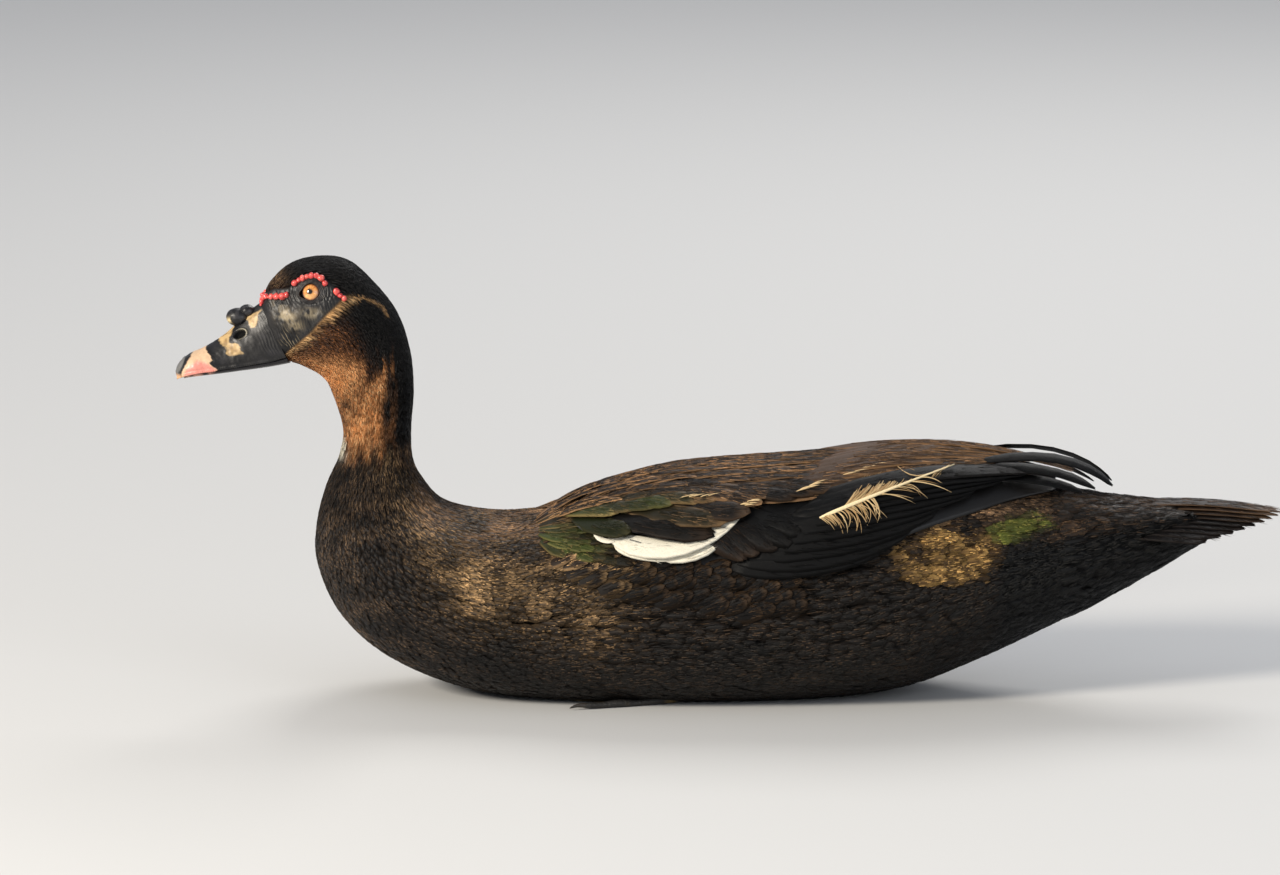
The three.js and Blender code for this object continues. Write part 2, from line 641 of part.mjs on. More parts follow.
function toePoint({ long: reach, spread }, t) {
  return new THREE.Vector3(
    footRoot.x - reach * t * Math.cos(spread),
    -footRoot.y + reach * t * Math.sin(spread),
    toe.height + (footRoot.z - toe.height) * Math.max(0, 1 - 4 * t) ** 2,
  );
}

function webPlate() {
  const flat = (p) => [p.x, p.y];
  const tip = (n) => toePoint(toes[n], 0.96);
  const notch = (n, t) => toePoint(toes[n], t).lerp(toePoint(toes[n + 1], t), 0.5);
  const web = new THREE.Shape();
  web.moveTo(footRoot.x, -footRoot.y);
  web.lineTo(...flat(tip(0)));
  web.quadraticCurveTo(...flat(notch(0, 0.72)), ...flat(tip(1)));
  web.quadraticCurveTo(...flat(notch(1, 0.78)), ...flat(tip(2)));
  const shape = { depth: webThickness, bevelEnabled: false, curveSegments: 4 };
  return solid(new THREE.ExtrudeGeometry(web, shape).translate(0, 0, webHeight));
}

function footForm() {
  const rootAt = (t) => new THREE.Vector3(footStarts - gap / 2 - 9 * t, -footRoot.y, footRoot.z + 0.6);
  const made = [webPlate(), tube(rootAt, () => ankle.thin, 1)];
  for (const each of toes) {
    const pad = (t) => 0.35 * Math.cos(2 * Math.PI * each.joints * t);
    made.push(tube((t) => toePoint(each, t), (t) => toe.radius - toe.taper * t + pad(t), 5, 6));
    const tip = toePoint(each, 1);
    const ahead = tip.clone().sub(toePoint(each, 0.9)).setLength(toe.claw);
    const claw = (t) => tip.clone().addScaledVector(ahead, t - 0.2).setZ(tip.z - 1.6 * t * t);
    made.push(tube(claw, (t) => toe.clawRadius - 1.3 * t, 3, 6));
  }
  const hindToe = (t) => hind.root.clone().lerp(hind.tip, t);
  made.push(tube(hindToe, (t) => hind.radius - 1.4 * t, 2, 6));
  return largest(wasm.Manifold.union(made).trimByPlane([0, 0, 1], 0));
}

// The room in the belly for a foot: a plain hollow round its toes, open to the floor.
const footRoom = {
  ahead: -111,
  side: -94,
  behind: -8.5,
  inside: 14,
  middle: 40,
  outside: 78,
  heel: 12,
  high: 11,
};

function footHollow() {
  const { ahead, side, behind, inside, middle, outside, heel, high } = footRoom;
  const outline = new THREE.Shape([
    new THREE.Vector2(behind, -middle + heel),
    new THREE.Vector2(side, -inside),
    new THREE.Vector2(ahead, -middle),
    new THREE.Vector2(side, -outside),
    new THREE.Vector2(behind, -middle - heel),
  ]);
  const room = new THREE.ExtrudeGeometry(outline, { depth: 1 + high, bevelEnabled: false });
  return solid(room.translate(0, 0, -1));
}

// The shank, from the foot back to the rounded joint, grown by some millimetres.
function legForm(grow = 0) {
  const start = footStarts + gap / 2 - grow;
  const path = (t) =>
    new THREE.Vector3(
      start + (ankle.length + 2 * grow) * t,
      -footRoot.y + ankle.inward * t * t,
      footRoot.z + 0.8 + ankle.rise * t * t,
    );
  const swell = ankle.thick - ankle.thin;
  const radius = (t) => (t > 0.96 ? 0.6 * ankle.thick : ankle.thin + swell * Math.max(t, 0) ** 2);
  return tube(path, (t) => radius(t) + grow, 4, 8);
}

const group = new THREE.Group();

function add(name, made, colour, roughness = 0.7) {
  const material = new THREE.MeshStandardMaterial({ color: colour, roughness, metalness: 0 });
  const mesh = new THREE.Mesh(geometryOf(made), material);
  mesh.name = name;
  group.add(mesh);
}

function addPair(name, made, colour, roughness) {
  add(`${name}_left`, made, colour, roughness);
  add(`${name}_right`, mirrored(made), colour, roughness);
}

const recess = bothSides(footHollow().add(legForm(0.5)));
const wing = wingForm();

add("head", headForm(), 0x1a1512);
add("bill_upper", upperBill(), 0xc9a79a, 0.35);
add("bill_lower", lowerBill(), 0x8a5b50, 0.4);
addPair("eye", eyeball(eyeAt.radius), 0xb8661a, 0.1);
add("neck", parted(wholeBody, neckStarts, torsoStarts), 0x4a2f20);
add("torso", largest(parted(wholeBody, torsoStarts, tailStarts).subtract(recess)), 0x241b15);
add("wing_left", largest(wing.add(wornFeather())), 0x3a2a1c);
add("wing_right", largest(mirrored(wing)), 0x3a2a1c);
add("tail", tailForm(), 0x2a2018);
addPair("leg", legForm(), 0x2b2622);
addPair("foot", footForm(), 0x2b2622);

export default group;
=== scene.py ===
# A muscovy duck sitting on its belly: skin, plumage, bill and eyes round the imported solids.
import bpy
import numpy as np
from math import cos, pi, radians, sin
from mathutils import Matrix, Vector


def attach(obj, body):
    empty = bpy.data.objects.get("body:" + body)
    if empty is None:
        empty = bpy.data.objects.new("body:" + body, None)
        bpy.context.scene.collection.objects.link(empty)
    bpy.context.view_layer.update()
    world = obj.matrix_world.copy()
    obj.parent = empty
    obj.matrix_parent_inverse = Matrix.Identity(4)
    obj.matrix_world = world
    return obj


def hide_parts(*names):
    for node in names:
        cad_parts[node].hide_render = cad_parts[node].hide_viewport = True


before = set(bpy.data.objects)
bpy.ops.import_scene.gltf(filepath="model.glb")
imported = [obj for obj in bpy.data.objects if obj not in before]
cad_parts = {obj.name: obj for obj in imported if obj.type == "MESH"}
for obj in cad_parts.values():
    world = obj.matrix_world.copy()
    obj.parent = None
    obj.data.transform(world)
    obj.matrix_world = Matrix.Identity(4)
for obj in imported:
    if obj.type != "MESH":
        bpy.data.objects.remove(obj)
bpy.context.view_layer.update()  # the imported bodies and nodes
print("frame loaded:", len(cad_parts), "nodes")
mm = 0.001  # every shape below is worked out in millimetres
groundGap = 0.02  # what lies on the ground keeps this much above it


# Whole-array helpers

def ramp(start, end, value):
    # 0 up to start, 1 from end on, a smooth step between them; start may be the larger one
    t = np.clip((value - start) / (end - start), 0, 1)
    return t * t * (3 - 2 * t)


def mixed(a, b, share):
    # a where share is 0, b where it is 1
    share = np.asarray(share, float)[..., None]
    return a * (1 - share) + b * share


def unit(v):
    return v / np.maximum(np.linalg.norm(v, axis=-1, keepdims=True), 1e-9)


def tone(code):
    # linear colour of a hex code: the inverse of the display's curve
    s = np.array([int(code[i:i + 2], 16) for i in (0, 2, 4)]) / 255
    return np.where(s <= 0.04045, s / 12.92, ((s + 0.055) / 1.055) ** 2.4)


noiseTable = np.random.default_rng(3).random(4096)


def noise(points, size, seed=0):
    # value noise from 0 to 1: random numbers on a lattice of that size in mm, smoothly blended
    p = points / size + seed * 17.31
    low = np.floor(p).astype(np.int64)
    t = p - low
    t = t * t * (3 - 2 * t)
    total = 0
    for corner in range(8):
        step = np.array([corner & 1, corner >> 1 & 1, corner >> 2])
        x, y, z = np.moveaxis(low + step, -1, 0)
        value = noiseTable[(x * 73856093 ^ y * 19349663 ^ z * 83492791) & 4095]
        total = total + value * np.prod(np.where(step, t, 1 - t), axis=-1)
    return total


def between(rows, at):
    # smooth curve through the rows, read at fractions of a row
    k = np.clip(at, 0, len(rows) - 1 - 1e-9)
    i = np.floor(k).astype(int)
    t = (k - i)[..., None]
    p, q, r, s = (rows[np.clip(i + n, 0, len(rows) - 1)] for n in (-1, 0, 1, 2))
    return q + 0.5 * t * (r - p + t * (2 * p - 5 * q + 4 * r - s + t * (3 * (q - r) + s - p)))


def insideOf(outline, x, z):
    # distance in mm to a closed outline in the side view, positive inside it
    a = np.asarray(outline, float)
    b = np.roll(a, -1, 0)
    at = np.stack([x, z], -1)[..., None, :]
    edge = b - a
    share = np.clip(((at - a) * edge).sum(-1) / (edge ** 2).sum(-1), 0, 1)
    far = np.linalg.norm(at - a - edge * share[..., None], axis=-1).min(-1)
    above = (a[:, 1] > at[..., 1]) != (b[:, 1] > at[..., 1])
    rise = np.where(edge[:, 1] == 0, 1e-9, edge[:, 1])
    crossing = at[..., 0] < a[:, 0] + edge[:, 0] * (at[..., 1] - a[:, 1]) / rise
    inside = (above & crossing).sum(-1) % 2 == 1
    return np.where(inside, far, -far)


def gridFaces(rows, columns, wrap=False):
    # quads of a grid of points in row order; wrap closes every row on itself
    i = np.arange(rows - 1)[:, None] * columns
    j = np.arange(columns if wrap else columns - 1)[None]
    a, b = i + j, i + (j + 1) % columns
    return np.stack([a, b, b + columns, a + columns], -1).reshape(-1, 4)


def gridNormals(grid):
    # unit normals of a grid whose rows close on themselves, from the differences both ways
    around = np.roll(grid, -1, 1) - np.roll(grid, 1, 1)
    along = np.gradient(grid, axis=0)
    return unit(np.cross(around, along))


def closedLoft(grid):
    # points and faces of a tube of rings, with a fan at each end
    rows, columns = grid.shape[:2]
    points = np.concatenate([grid.reshape(-1, 3), grid[:1].mean(1), grid[-1:].mean(1)])
    ring = np.arange(columns)
    after = (ring + 1) % columns
    last = (rows - 1) * columns
    start = np.stack([after, ring, np.full(columns, rows * columns)], -1)
    end = np.stack([last + ring, last + after, np.full(columns, rows * columns + 1)], -1)
    return points, [gridFaces(rows, columns, True), np.concatenate([start, end])]


def meshPiece(name, points, faces, finish, slot, replaced=(), tint=None, maps=(), matt=None):
    # one mesh from arrays, in metres, with its colour attribute, its maps and how dull it is
    points = np.concatenate([points[:, :2], np.maximum(points[:, 2:], groundGap)], -1)
    mesh = bpy.data.meshes.new(name)
    sizes = np.concatenate([np.full(len(f), f.shape[1]) for f in faces])
    corners = np.concatenate([f.ravel() for f in faces]).astype(np.int32)
    mesh.vertices.add(len(points))
    mesh.vertices.foreach_set("co", (points * mm).astype(np.float32).ravel())
    mesh.loops.add(len(corners))
    mesh.loops.foreach_set("vertex_index", corners)
    mesh.polygons.add(len(sizes))
    mesh.polygons.foreach_set("loop_start", (np.cumsum(sizes) - sizes).astype(np.int32))
    mesh.polygons.foreach_set("use_smooth", np.ones(len(sizes), bool))
    mesh.update(calc_edges=True)
    if tint is not None:
        rgba = np.concatenate([tint, np.ones((len(tint), 1))], -1).astype(np.float32)
        mesh.attributes.new("tint", "FLOAT_COLOR", "POINT").data.foreach_set("color", rgba.ravel())
    if matt is not None:
        mesh.attributes.new("matt", "FLOAT", "POINT").data.foreach_set("value", matt.astype(np.float32))
    for mapName, places in maps:
        layer = mesh.uv_layers.new(name=mapName, do_init=False)
        layer.data.foreach_set("uv", places[corners].astype(np.float32).ravel())
    piece = bpy.data.objects.new(name, mesh)
    bpy.context.scene.collection.objects.link(piece)
    mesh.materials.append(finish)
    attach(piece, "root")
    if replaced:
        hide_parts(*replaced)
    print("piece", name, "triangles", int((sizes - 2).sum()))


def bothSides(name, points, faces, finish, slot, stems, tint):
    # the piece on the left, and its mirror image on the right with the faces turned round
    for side in ("left", "right"):
        replaced = [f"{stem}_{side}" for stem in stems]
        meshPiece(f"{name}_{side}", points, faces, finishes[finish], slot, replaced, tint)
        points, faces = mirroredParts(points, faces)


def mirroredParts(points, faces):
    return points * [1, -1, 1], [f[:, ::-1] for f in faces]


def capped(values):
    # values of a grid's points as rows, then those of the two points that close its ends
    return np.concatenate([values.reshape(-1, values.shape[-1]), values[0, :1], values[-1, :1]])


def mottled(points, dark, light, size, seed, much=1.0, start=0.5, end=0.8):
    # a dark colour with clouds of a lighter one, by noise of that size in mm
    return mixed(tone(dark), tone(light), ramp(start, end, noise(points, size, seed)) * much)


def joined(parts):
    # several (points, faces, tint, maps) as one, with the faces renumbered
    points = np.concatenate([p[0] for p in parts])
    offsets = np.cumsum([0] + [len(p[0]) for p in parts[:-1]])
    faces = [f + o for p, o in zip(parts, offsets) for f in p[1]]
    tint = np.concatenate([p[2] for p in parts])
    maps = [(name, np.concatenate([dict(p[3])[name] for p in parts])) for name, _ in parts[0][3]]
    return points, faces, tint, maps


# Materials

class Wire:
    # an output of a node, with arithmetic that adds Math nodes

    def __init__(self, finish, socket):
        self.finish, self.socket = finish, socket

    def maths(self, operation, *others):
        return self.finish.node("ShaderNodeMath", {"operation": operation}, [self, *others])

    def __add__(self, other):
        return self.maths("ADD", other)

    def __mul__(self, other):
        return self.maths("MULTIPLY", other)

    def __sub__(self, other):
        return self.maths("SUBTRACT", other)

    def __rsub__(self, other):
        return self.finish.node("ShaderNodeMath", {"operation": "SUBTRACT"}, [other, self])

    __radd__, __rmul__ = __add__, __mul__


class Finish:
    # a material with one shader, whose fixed values are set on the shader's own sockets

    def __init__(self, name, **constants):
        self.material = bpy.data.materials.new(name)
        self.material.use_nodes = True
        self.tree = self.material.node_tree
        self.shader = self.tree.nodes["Principled BSDF"]
        for socket, value in constants.items():
            self.shader.inputs[socket.replace("_", " ")].default_value = value

    def node(self, kind, settings=None, inputs=(), out=0):
        # a node of that type: its settings, then the values or wires of its sockets
        made = self.tree.nodes.new(kind)
        for key, value in (settings or {}).items():
            if key == "stops":
                ramp = made.color_ramp.elements
                while len(ramp) < len(value):
                    ramp.new(0.5)
                for stop, (place, grey) in zip(ramp, value):
                    stop.position, stop.color = place, (grey, grey, grey, 1)
            else:
                setattr(made, key, value)
        pairs = inputs.items() if isinstance(inputs, dict) else enumerate(inputs)
        for key, value in pairs:
            if isinstance(value, Wire):
                self.tree.links.new(value.socket, made.inputs[key])
            else:
                made.inputs[key].default_value = value
        return Wire(self, made.outputs[out])

    def feed(self, socket, wire):
        self.tree.links.new(wire.socket, self.shader.inputs[socket])

    def place(self, scale):
        # object coordinates in metres, stretched by a scale for each axis
        at = self.node("ShaderNodeTexCoord", out="Object")
        return self.node("ShaderNodeVectorMath", {"operation": "MULTIPLY"}, [at, scale])

    def grain(self, vector, detail=3.0, roughness=0.6, scale=1.0):
        inputs = {"Vector": vector, "Scale": scale, "Detail": detail, "Roughness": roughness}
        return self.node("ShaderNodeTexNoise", None, inputs)

    def tinted(self, amount):
        # the tint attribute times a grey value
        tint = self.node("ShaderNodeAttribute", {"attribute_name": "tint"}, out="Color")
        grey = self.node("ShaderNodeCombineColor", None, [amount, amount, amount])
        settings = {"data_type": "RGBA", "blend_type": "MULTIPLY"}
        return self.node("ShaderNodeMix", settings, {0: 1.0, 6: tint, 7: grey}, out=2)

    def bump(self, height, strength, distance):
        inputs = {"Height": height, "Strength": strength, "Distance": distance}
        self.feed("Normal", self.node("ShaderNodeBump", None, inputs))


def plumageFinish(name, gloss, barb, shine):
    # barbs run obliquely from the shaft: a wave over the vane's own map, broken up by grain
    f = Finish(name, Specular_IOR_Level=shine)
    at = f.node("ShaderNodeUVMap", {"uv_map": "vane"})
    parts = f.node("ShaderNodeSeparateXYZ", None, [at])
    u, v = parts, Wire(f, parts.socket.node.outputs[1])
    slant = (v - u.maths("ABSOLUTE") * 1.1) * (2 * pi / barb)
    wave = slant.maths("SINE") * 0.5 + 0.5
    body = f.grain(f.place((900, 900, 900)))
    cross = f.node("ShaderNodeCombineXYZ", None, [slant * 0.45, u * 0.12, body * 3.0])
    strand = f.grain(cross, 2.0)
    f.feed("Base Color", f.tinted(strand * 0.9 + body * 0.5 + 0.32))
    f.feed("Roughness", gloss + strand * 0.22)
    f.bump(wave * 0.3 + strand * 0.7, 0.4, 0.0004)
    return f.material


def skinFinish(name, rough, fine, depth, varnish=0.0, **constants):
    # bare skin and horn: the tint with fine blotches, creased by grain of two sizes, dull by place
    f = Finish(name, **constants)
    matt = f.node("ShaderNodeAttribute", {"attribute_name": "matt"}, out="Fac")
    small = f.grain(f.place((fine, fine, fine)), 4.0, 0.65)
    large = f.grain(f.place((fine * 0.3, fine * 0.3, fine * 0.3)))
    f.feed("Base Color", f.tinted(small * 0.5 + large * 0.4 + 0.55))
    f.feed("Roughness", rough + small * 0.25 + matt * 0.6)
    if varnish:
        f.feed("Coat Weight", (1 - matt) * varnish)
    f.bump(small * 0.7 + large * 0.5, 0.5, depth)
    return f.material


def scaleFinish(name, size):
    # reticulate scales: cells with dark creases between them
    f = Finish(name, Specular_IOR_Level=0.45)
    at = f.place((1 / size, 1 / size, 1 / size))
    cell = f.node("ShaderNodeTexVoronoi", {"feature": "DISTANCE_TO_EDGE"}, {"Vector": at, "Scale": 1.0})
    crease = f.node("ShaderNodeValToRGB", {"stops": [(0.0, 0.0), (0.16, 1.0)]}, [cell])
    small = f.grain(f.place((2600, 2600, 2600)))
    f.feed("Base Color", f.tinted(crease * 0.45 + small * 0.35 + 0.35))
    f.feed("Roughness", 0.62 - crease * 0.12)
    f.bump(crease * 0.8 + small * 0.3, 0.6, 0.0005)
    return f.material


finishes = {
    "plumage": plumageFinish("plumage", 0.4, 0.5, 0.22),
    "wing": plumageFinish("wing_plumage", 0.42, 0.6, 0.15),
    "tail": plumageFinish("tail_plumage", 0.38, 0.7, 0.15),
    "skin": skinFinish("bare_skin", 0.34, 900, 0.0003, 0.06, Coat_Roughness=0.3, Specular_IOR_Level=0.36),
    "bill": skinFinish("bill_horn", 0.28, 700, 0.00016, 0.12, Coat_Roughness=0.25, Specular_IOR_Level=0.38),
    "caruncle": skinFinish("caruncle", 0.24, 900, 0.0002, 0.5, Coat_Roughness=0.15),
    "eye": skinFinish("eye", 0.05, 500, 0.00001, 1.0, Coat_Roughness=0.02),
    "foot": scaleFinish("foot_scales", 0.0016),
    "claw": skinFinish("claw", 0.35, 1200, 0.0001),
}


# The form of the body: upright or leaning sections from the bill's root to the tail, each with
# its point on the back line (x, z) and on the belly line (x, z), half its width, the share of
# its height at which it is widest, and how square it is above and below that level.
bodyRows = np.array([
    [-283, 237.5, -265, 201, 13.5, 0.42, 1.9, 2.1],
    [-276.5, 250.5, -261, 200.5, 17, 0.44, 1.9, 2.1],
    [-264, 261.5, -254, 197.5, 20.5, 0.47, 2, 2],
    [-247, 265.6, -247, 193.5, 23, 0.47, 2.1, 2],
    [-230, 263, -242.5, 189, 24.5, 0.48, 2.1, 2],
    [-214.5, 249.5, -240, 183.5, 24.5, 0.5, 2.1, 2],
    [-200.5, 231, -238, 178, 23.5, 0.5, 2, 2],
    [-193, 208, -235.8, 171.5, 21.5, 0.5, 2, 2],
    [-191, 184, -233.6, 164, 20, 0.5, 2, 2],
    [-192.6, 160, -232.9, 155, 20, 0.5, 2, 2],
    [-191.5, 141, -236, 142, 23.5, 0.5, 2, 2],
    [-184.5, 127.5, -243.6, 124.5, 32, 0.5, 2, 2],
    [-173, 115.5, -249, 103, 43, 0.5, 2, 2],
    [-155, 109.5, -249, 79, 56, 0.5, 2, 2.1],
    [-131, 107.5, -235, 48, 68, 0.5, 2, 2.2],
    [-103, 111, -205, 22, 76, 0.5, 2, 2.3],
    [-70, 119, -155, 3, 83, 0.49, 2.1, 2.4],
    [-33, 128, -90, -3, 87.5, 0.47, 2.2, 2.5],
    [10, 133.5, -20, -4, 88.5, 0.46, 2.2, 2.5],
    [58, 137, 50, -2.5, 86, 0.47, 2.2, 2.4],
    [105, 138.5, 105, 4, 79, 0.49, 2.2, 2.3],
    [148, 134, 148, 19, 67, 0.52, 2.1, 2.1],
    [186, 126.5, 188, 37, 52, 0.56, 2, 2],
    [218, 120, 224, 55, 39, 0.6, 2, 1.9],
    [248, 116, 256, 73, 30, 0.66, 2, 1.8],
    [278, 113, 284, 90, 22, 0.7, 2, 1.8],
])
faceEnds = 8  # section behind which the face has no relief
faceMounds = [  # x, z, length, height and rise of each swelling or hollow of the face
    (-253, 256, 11, 4, 2.2),
    (-252, 246.5, 9.5, 7.5, 0.8),
    (-268, 240, 7, 7, -1.8),
    (-236, 222, 17, 13, 1.8),
]


def bodyForm(k, angle):
    # a squared oval in each section: its height goes with the cosine and its width with the sine
    # of the angle from the back line, each raised to a power
    bx, bz, vx, vz, half, widest, above, below = np.moveaxis(between(bodyRows, k), -1, 0)
    c, s = np.cos(angle), np.sin(angle)
    power = 2 / np.where(c > 0, above, below)
    rise = np.sign(c) * np.abs(c) ** power
    share = widest + rise * np.where(c > 0, 1 - widest, widest)
    y = -np.sign(s) * np.abs(s) ** power * half
    return np.stack([vx + (bx - vx) * share, y, vz + (bz - vz) * share], -1)


def bodyAt(k, angle, lift=0.0):
    # point lifted off the form, and the outward normal there
    k, angle = np.broadcast_arrays(np.asarray(k, float), np.asarray(angle, float))
    e = 2e-3
    at = bodyForm(k, angle)
    along = bodyForm(np.minimum(k + e, 25), angle) - bodyForm(np.maximum(k - e, 0), angle)
    around = bodyForm(k, angle + e) - bodyForm(k, angle - e)
    out = unit(np.cross(around, along))
    rise = np.zeros(k.shape)
    for x, z, long, high, much in faceMounds:
        far = ((at[..., 0] - x) / long) ** 2 + ((at[..., 2] - z) / high) ** 2
        rise = rise + much * np.exp(-far) * np.minimum(1, np.abs(at[..., 1]) / 8)
    rise = np.where(k < faceEnds, rise, 0)
    return at + out * (rise + lift)[..., None], out


def sectionAt(x, angle):
    # section of the trunk that has this x at this angle, by halving
    x, angle = np.broadcast_arrays(np.asarray(x, float), np.asarray(angle, float))
    low, high = np.full(x.shape, 11.0), np.full(x.shape, 25.0)
    for _ in range(22):
        middle = (low + high) / 2
        before = bodyForm(middle, angle)[..., 0] < x
        low, high = np.where(before, middle, low), np.where(before, high, middle)
    return low


def faceAt(x, z, most=8.0):
    # section and angle on the left side of the head with this place in the side view, by halving
    x, z = np.broadcast_arrays(np.asarray(x, float), np.asarray(z, float))
    low, high = np.zeros(x.shape), np.full(x.shape, most)
    for _ in range(26):
        middle = (low + high) / 2
        bx, bz, vx, vz = np.moveaxis(between(bodyRows, middle), -1, 0)[:4]
        before = (bx - vx) * (z - vz) - (bz - vz) * (x - vx) < 0
        low, high = np.where(before, middle, low), np.where(before, high, middle)
    bx, bz, vx, vz, _, widest, above, below = np.moveaxis(between(bodyRows, low), -1, 0)
    share = ((x - vx) * (bx - vx) + (z - vz) * (bz - vz)) / ((bx - vx) ** 2 + (bz - vz) ** 2)
    rise = np.where(share > widest, (share - widest) / (1 - widest), (share - widest) / widest)
    power = np.where(rise > 0, above, below) / 2
    return low, np.arccos(np.sign(rise) * np.minimum(1, np.abs(rise)) ** power)


# The bare face, and the markings that the skin and the coat share

eye = {  # place in the side view, size of the ball and its depth, and radii of pupil and iris
    "x": -252.0, "z": 246.7, "radius": 7.4, "inset": 5.6, "pupil": 1.55, "iris": 4.85, "offset": (-0.25, 0.1),
}
face = {
    "bare": [  # outline of the bare skin in the side view
        (-286, 200), (-283.5, 237.7), (-282.5, 242.3), (-274.7, 247.1), (-265.6, 248.1),
        (-261.4, 254.3), (-252.9, 258.4), (-245, 257.3), (-240.2, 252.1), (-230.5, 245.6),
        (-236.9, 239.1), (-246.8, 229), (-252.9, 221.7), (-265, 210.7), (-269.2, 205.7),
    ],
    "fringe": [  # line of pale feathers along its lower rear edge
        (-228.8, 242.6), (-236.9, 238.5), (-241.9, 233.5), (-246.9, 228.4), (-252.9, 221.2),
        (-258.9, 216.1), (-265, 211), (-268.8, 206.8),
    ],
    "arc": [(-230.5, 243.7), (-222.8, 244.4), (-215.8, 241.6), (-209.8, 237.5), (-207.6, 233)],
    "mottles": [(-267, 232, 5.0, 3.6, 1.0), (-272, 238.5, 3.0, 2.0, 0.5), (-252, 234.5, 5.0, 2.6, 0.6),
                (-261, 226, 4.0, 3.0, 0.55)],
    "foldWidth": 1.9,
    "folds": [(-265.5, 217, 5.5, 9, 0.42), (-257, 226, 7, 7, 0.36), (-243, 241, 6, 8, 0.34),
              (-272, 240, 7, 4, 0.2)],
}
# several tones are partly painted light: the pale edge tones stand partly for sun on feather tips, gold and
# neck for lit feathers, green for the feathers' sheen, and belly, flank and under are near black partly for
# shade
tones = {name: tone(code) for name, code in {
    "crown": "0a0909", "forehead": "3c281d", "cheek": "241610", "throat": "5e3a23", "fringe": "b38a5b",
    "neck": "b27341", "neckPale": "efc48f", "white": "e0dac8", "breast": "0b090a", "breastEdge": "8a7056",
    "side": "17110d", "sideEdge": "d2aa78", "back": "271b14", "backEdge": "b8916a", "belly": "090807",
    "flank": "0a0807", "flankEdge": "54402c", "gold": "412c11", "goldEdge": "e6b76e", "green": "566022",
    "greenEdge": "b0ac52", "rump": "0e0b09", "rumpEdge": "644c36", "under": "040404",
    "mottle": "8b7e66", "tan": "c8b48c",
}.items()}


def bareShare(x, z, soft=0.8):
    # 1 on the bare skin of the face, 0 on the feathered head
    return ramp(-soft, soft, insideOf(face["bare"], x, z))


def nearLine(line, x, z):
    # distance in mm to an open line in the side view
    a = np.asarray(line, float)
    at = np.stack([x, z], -1)[..., None, :]
    edge = a[1:] - a[:-1]
    share = np.clip(((at - a[:-1]) * edge).sum(-1) / (edge ** 2).sum(-1), 0, 1)
    return np.linalg.norm(at - a[:-1] - edge * share[..., None], axis=-1).min(-1)


def spot(x, z, cx, cz, rx, rz):
    # soft oval patch in the side view, 1 at its middle
    return np.exp(-(((x - cx) / rx) ** 2 + ((z - cz) / rz) ** 2))


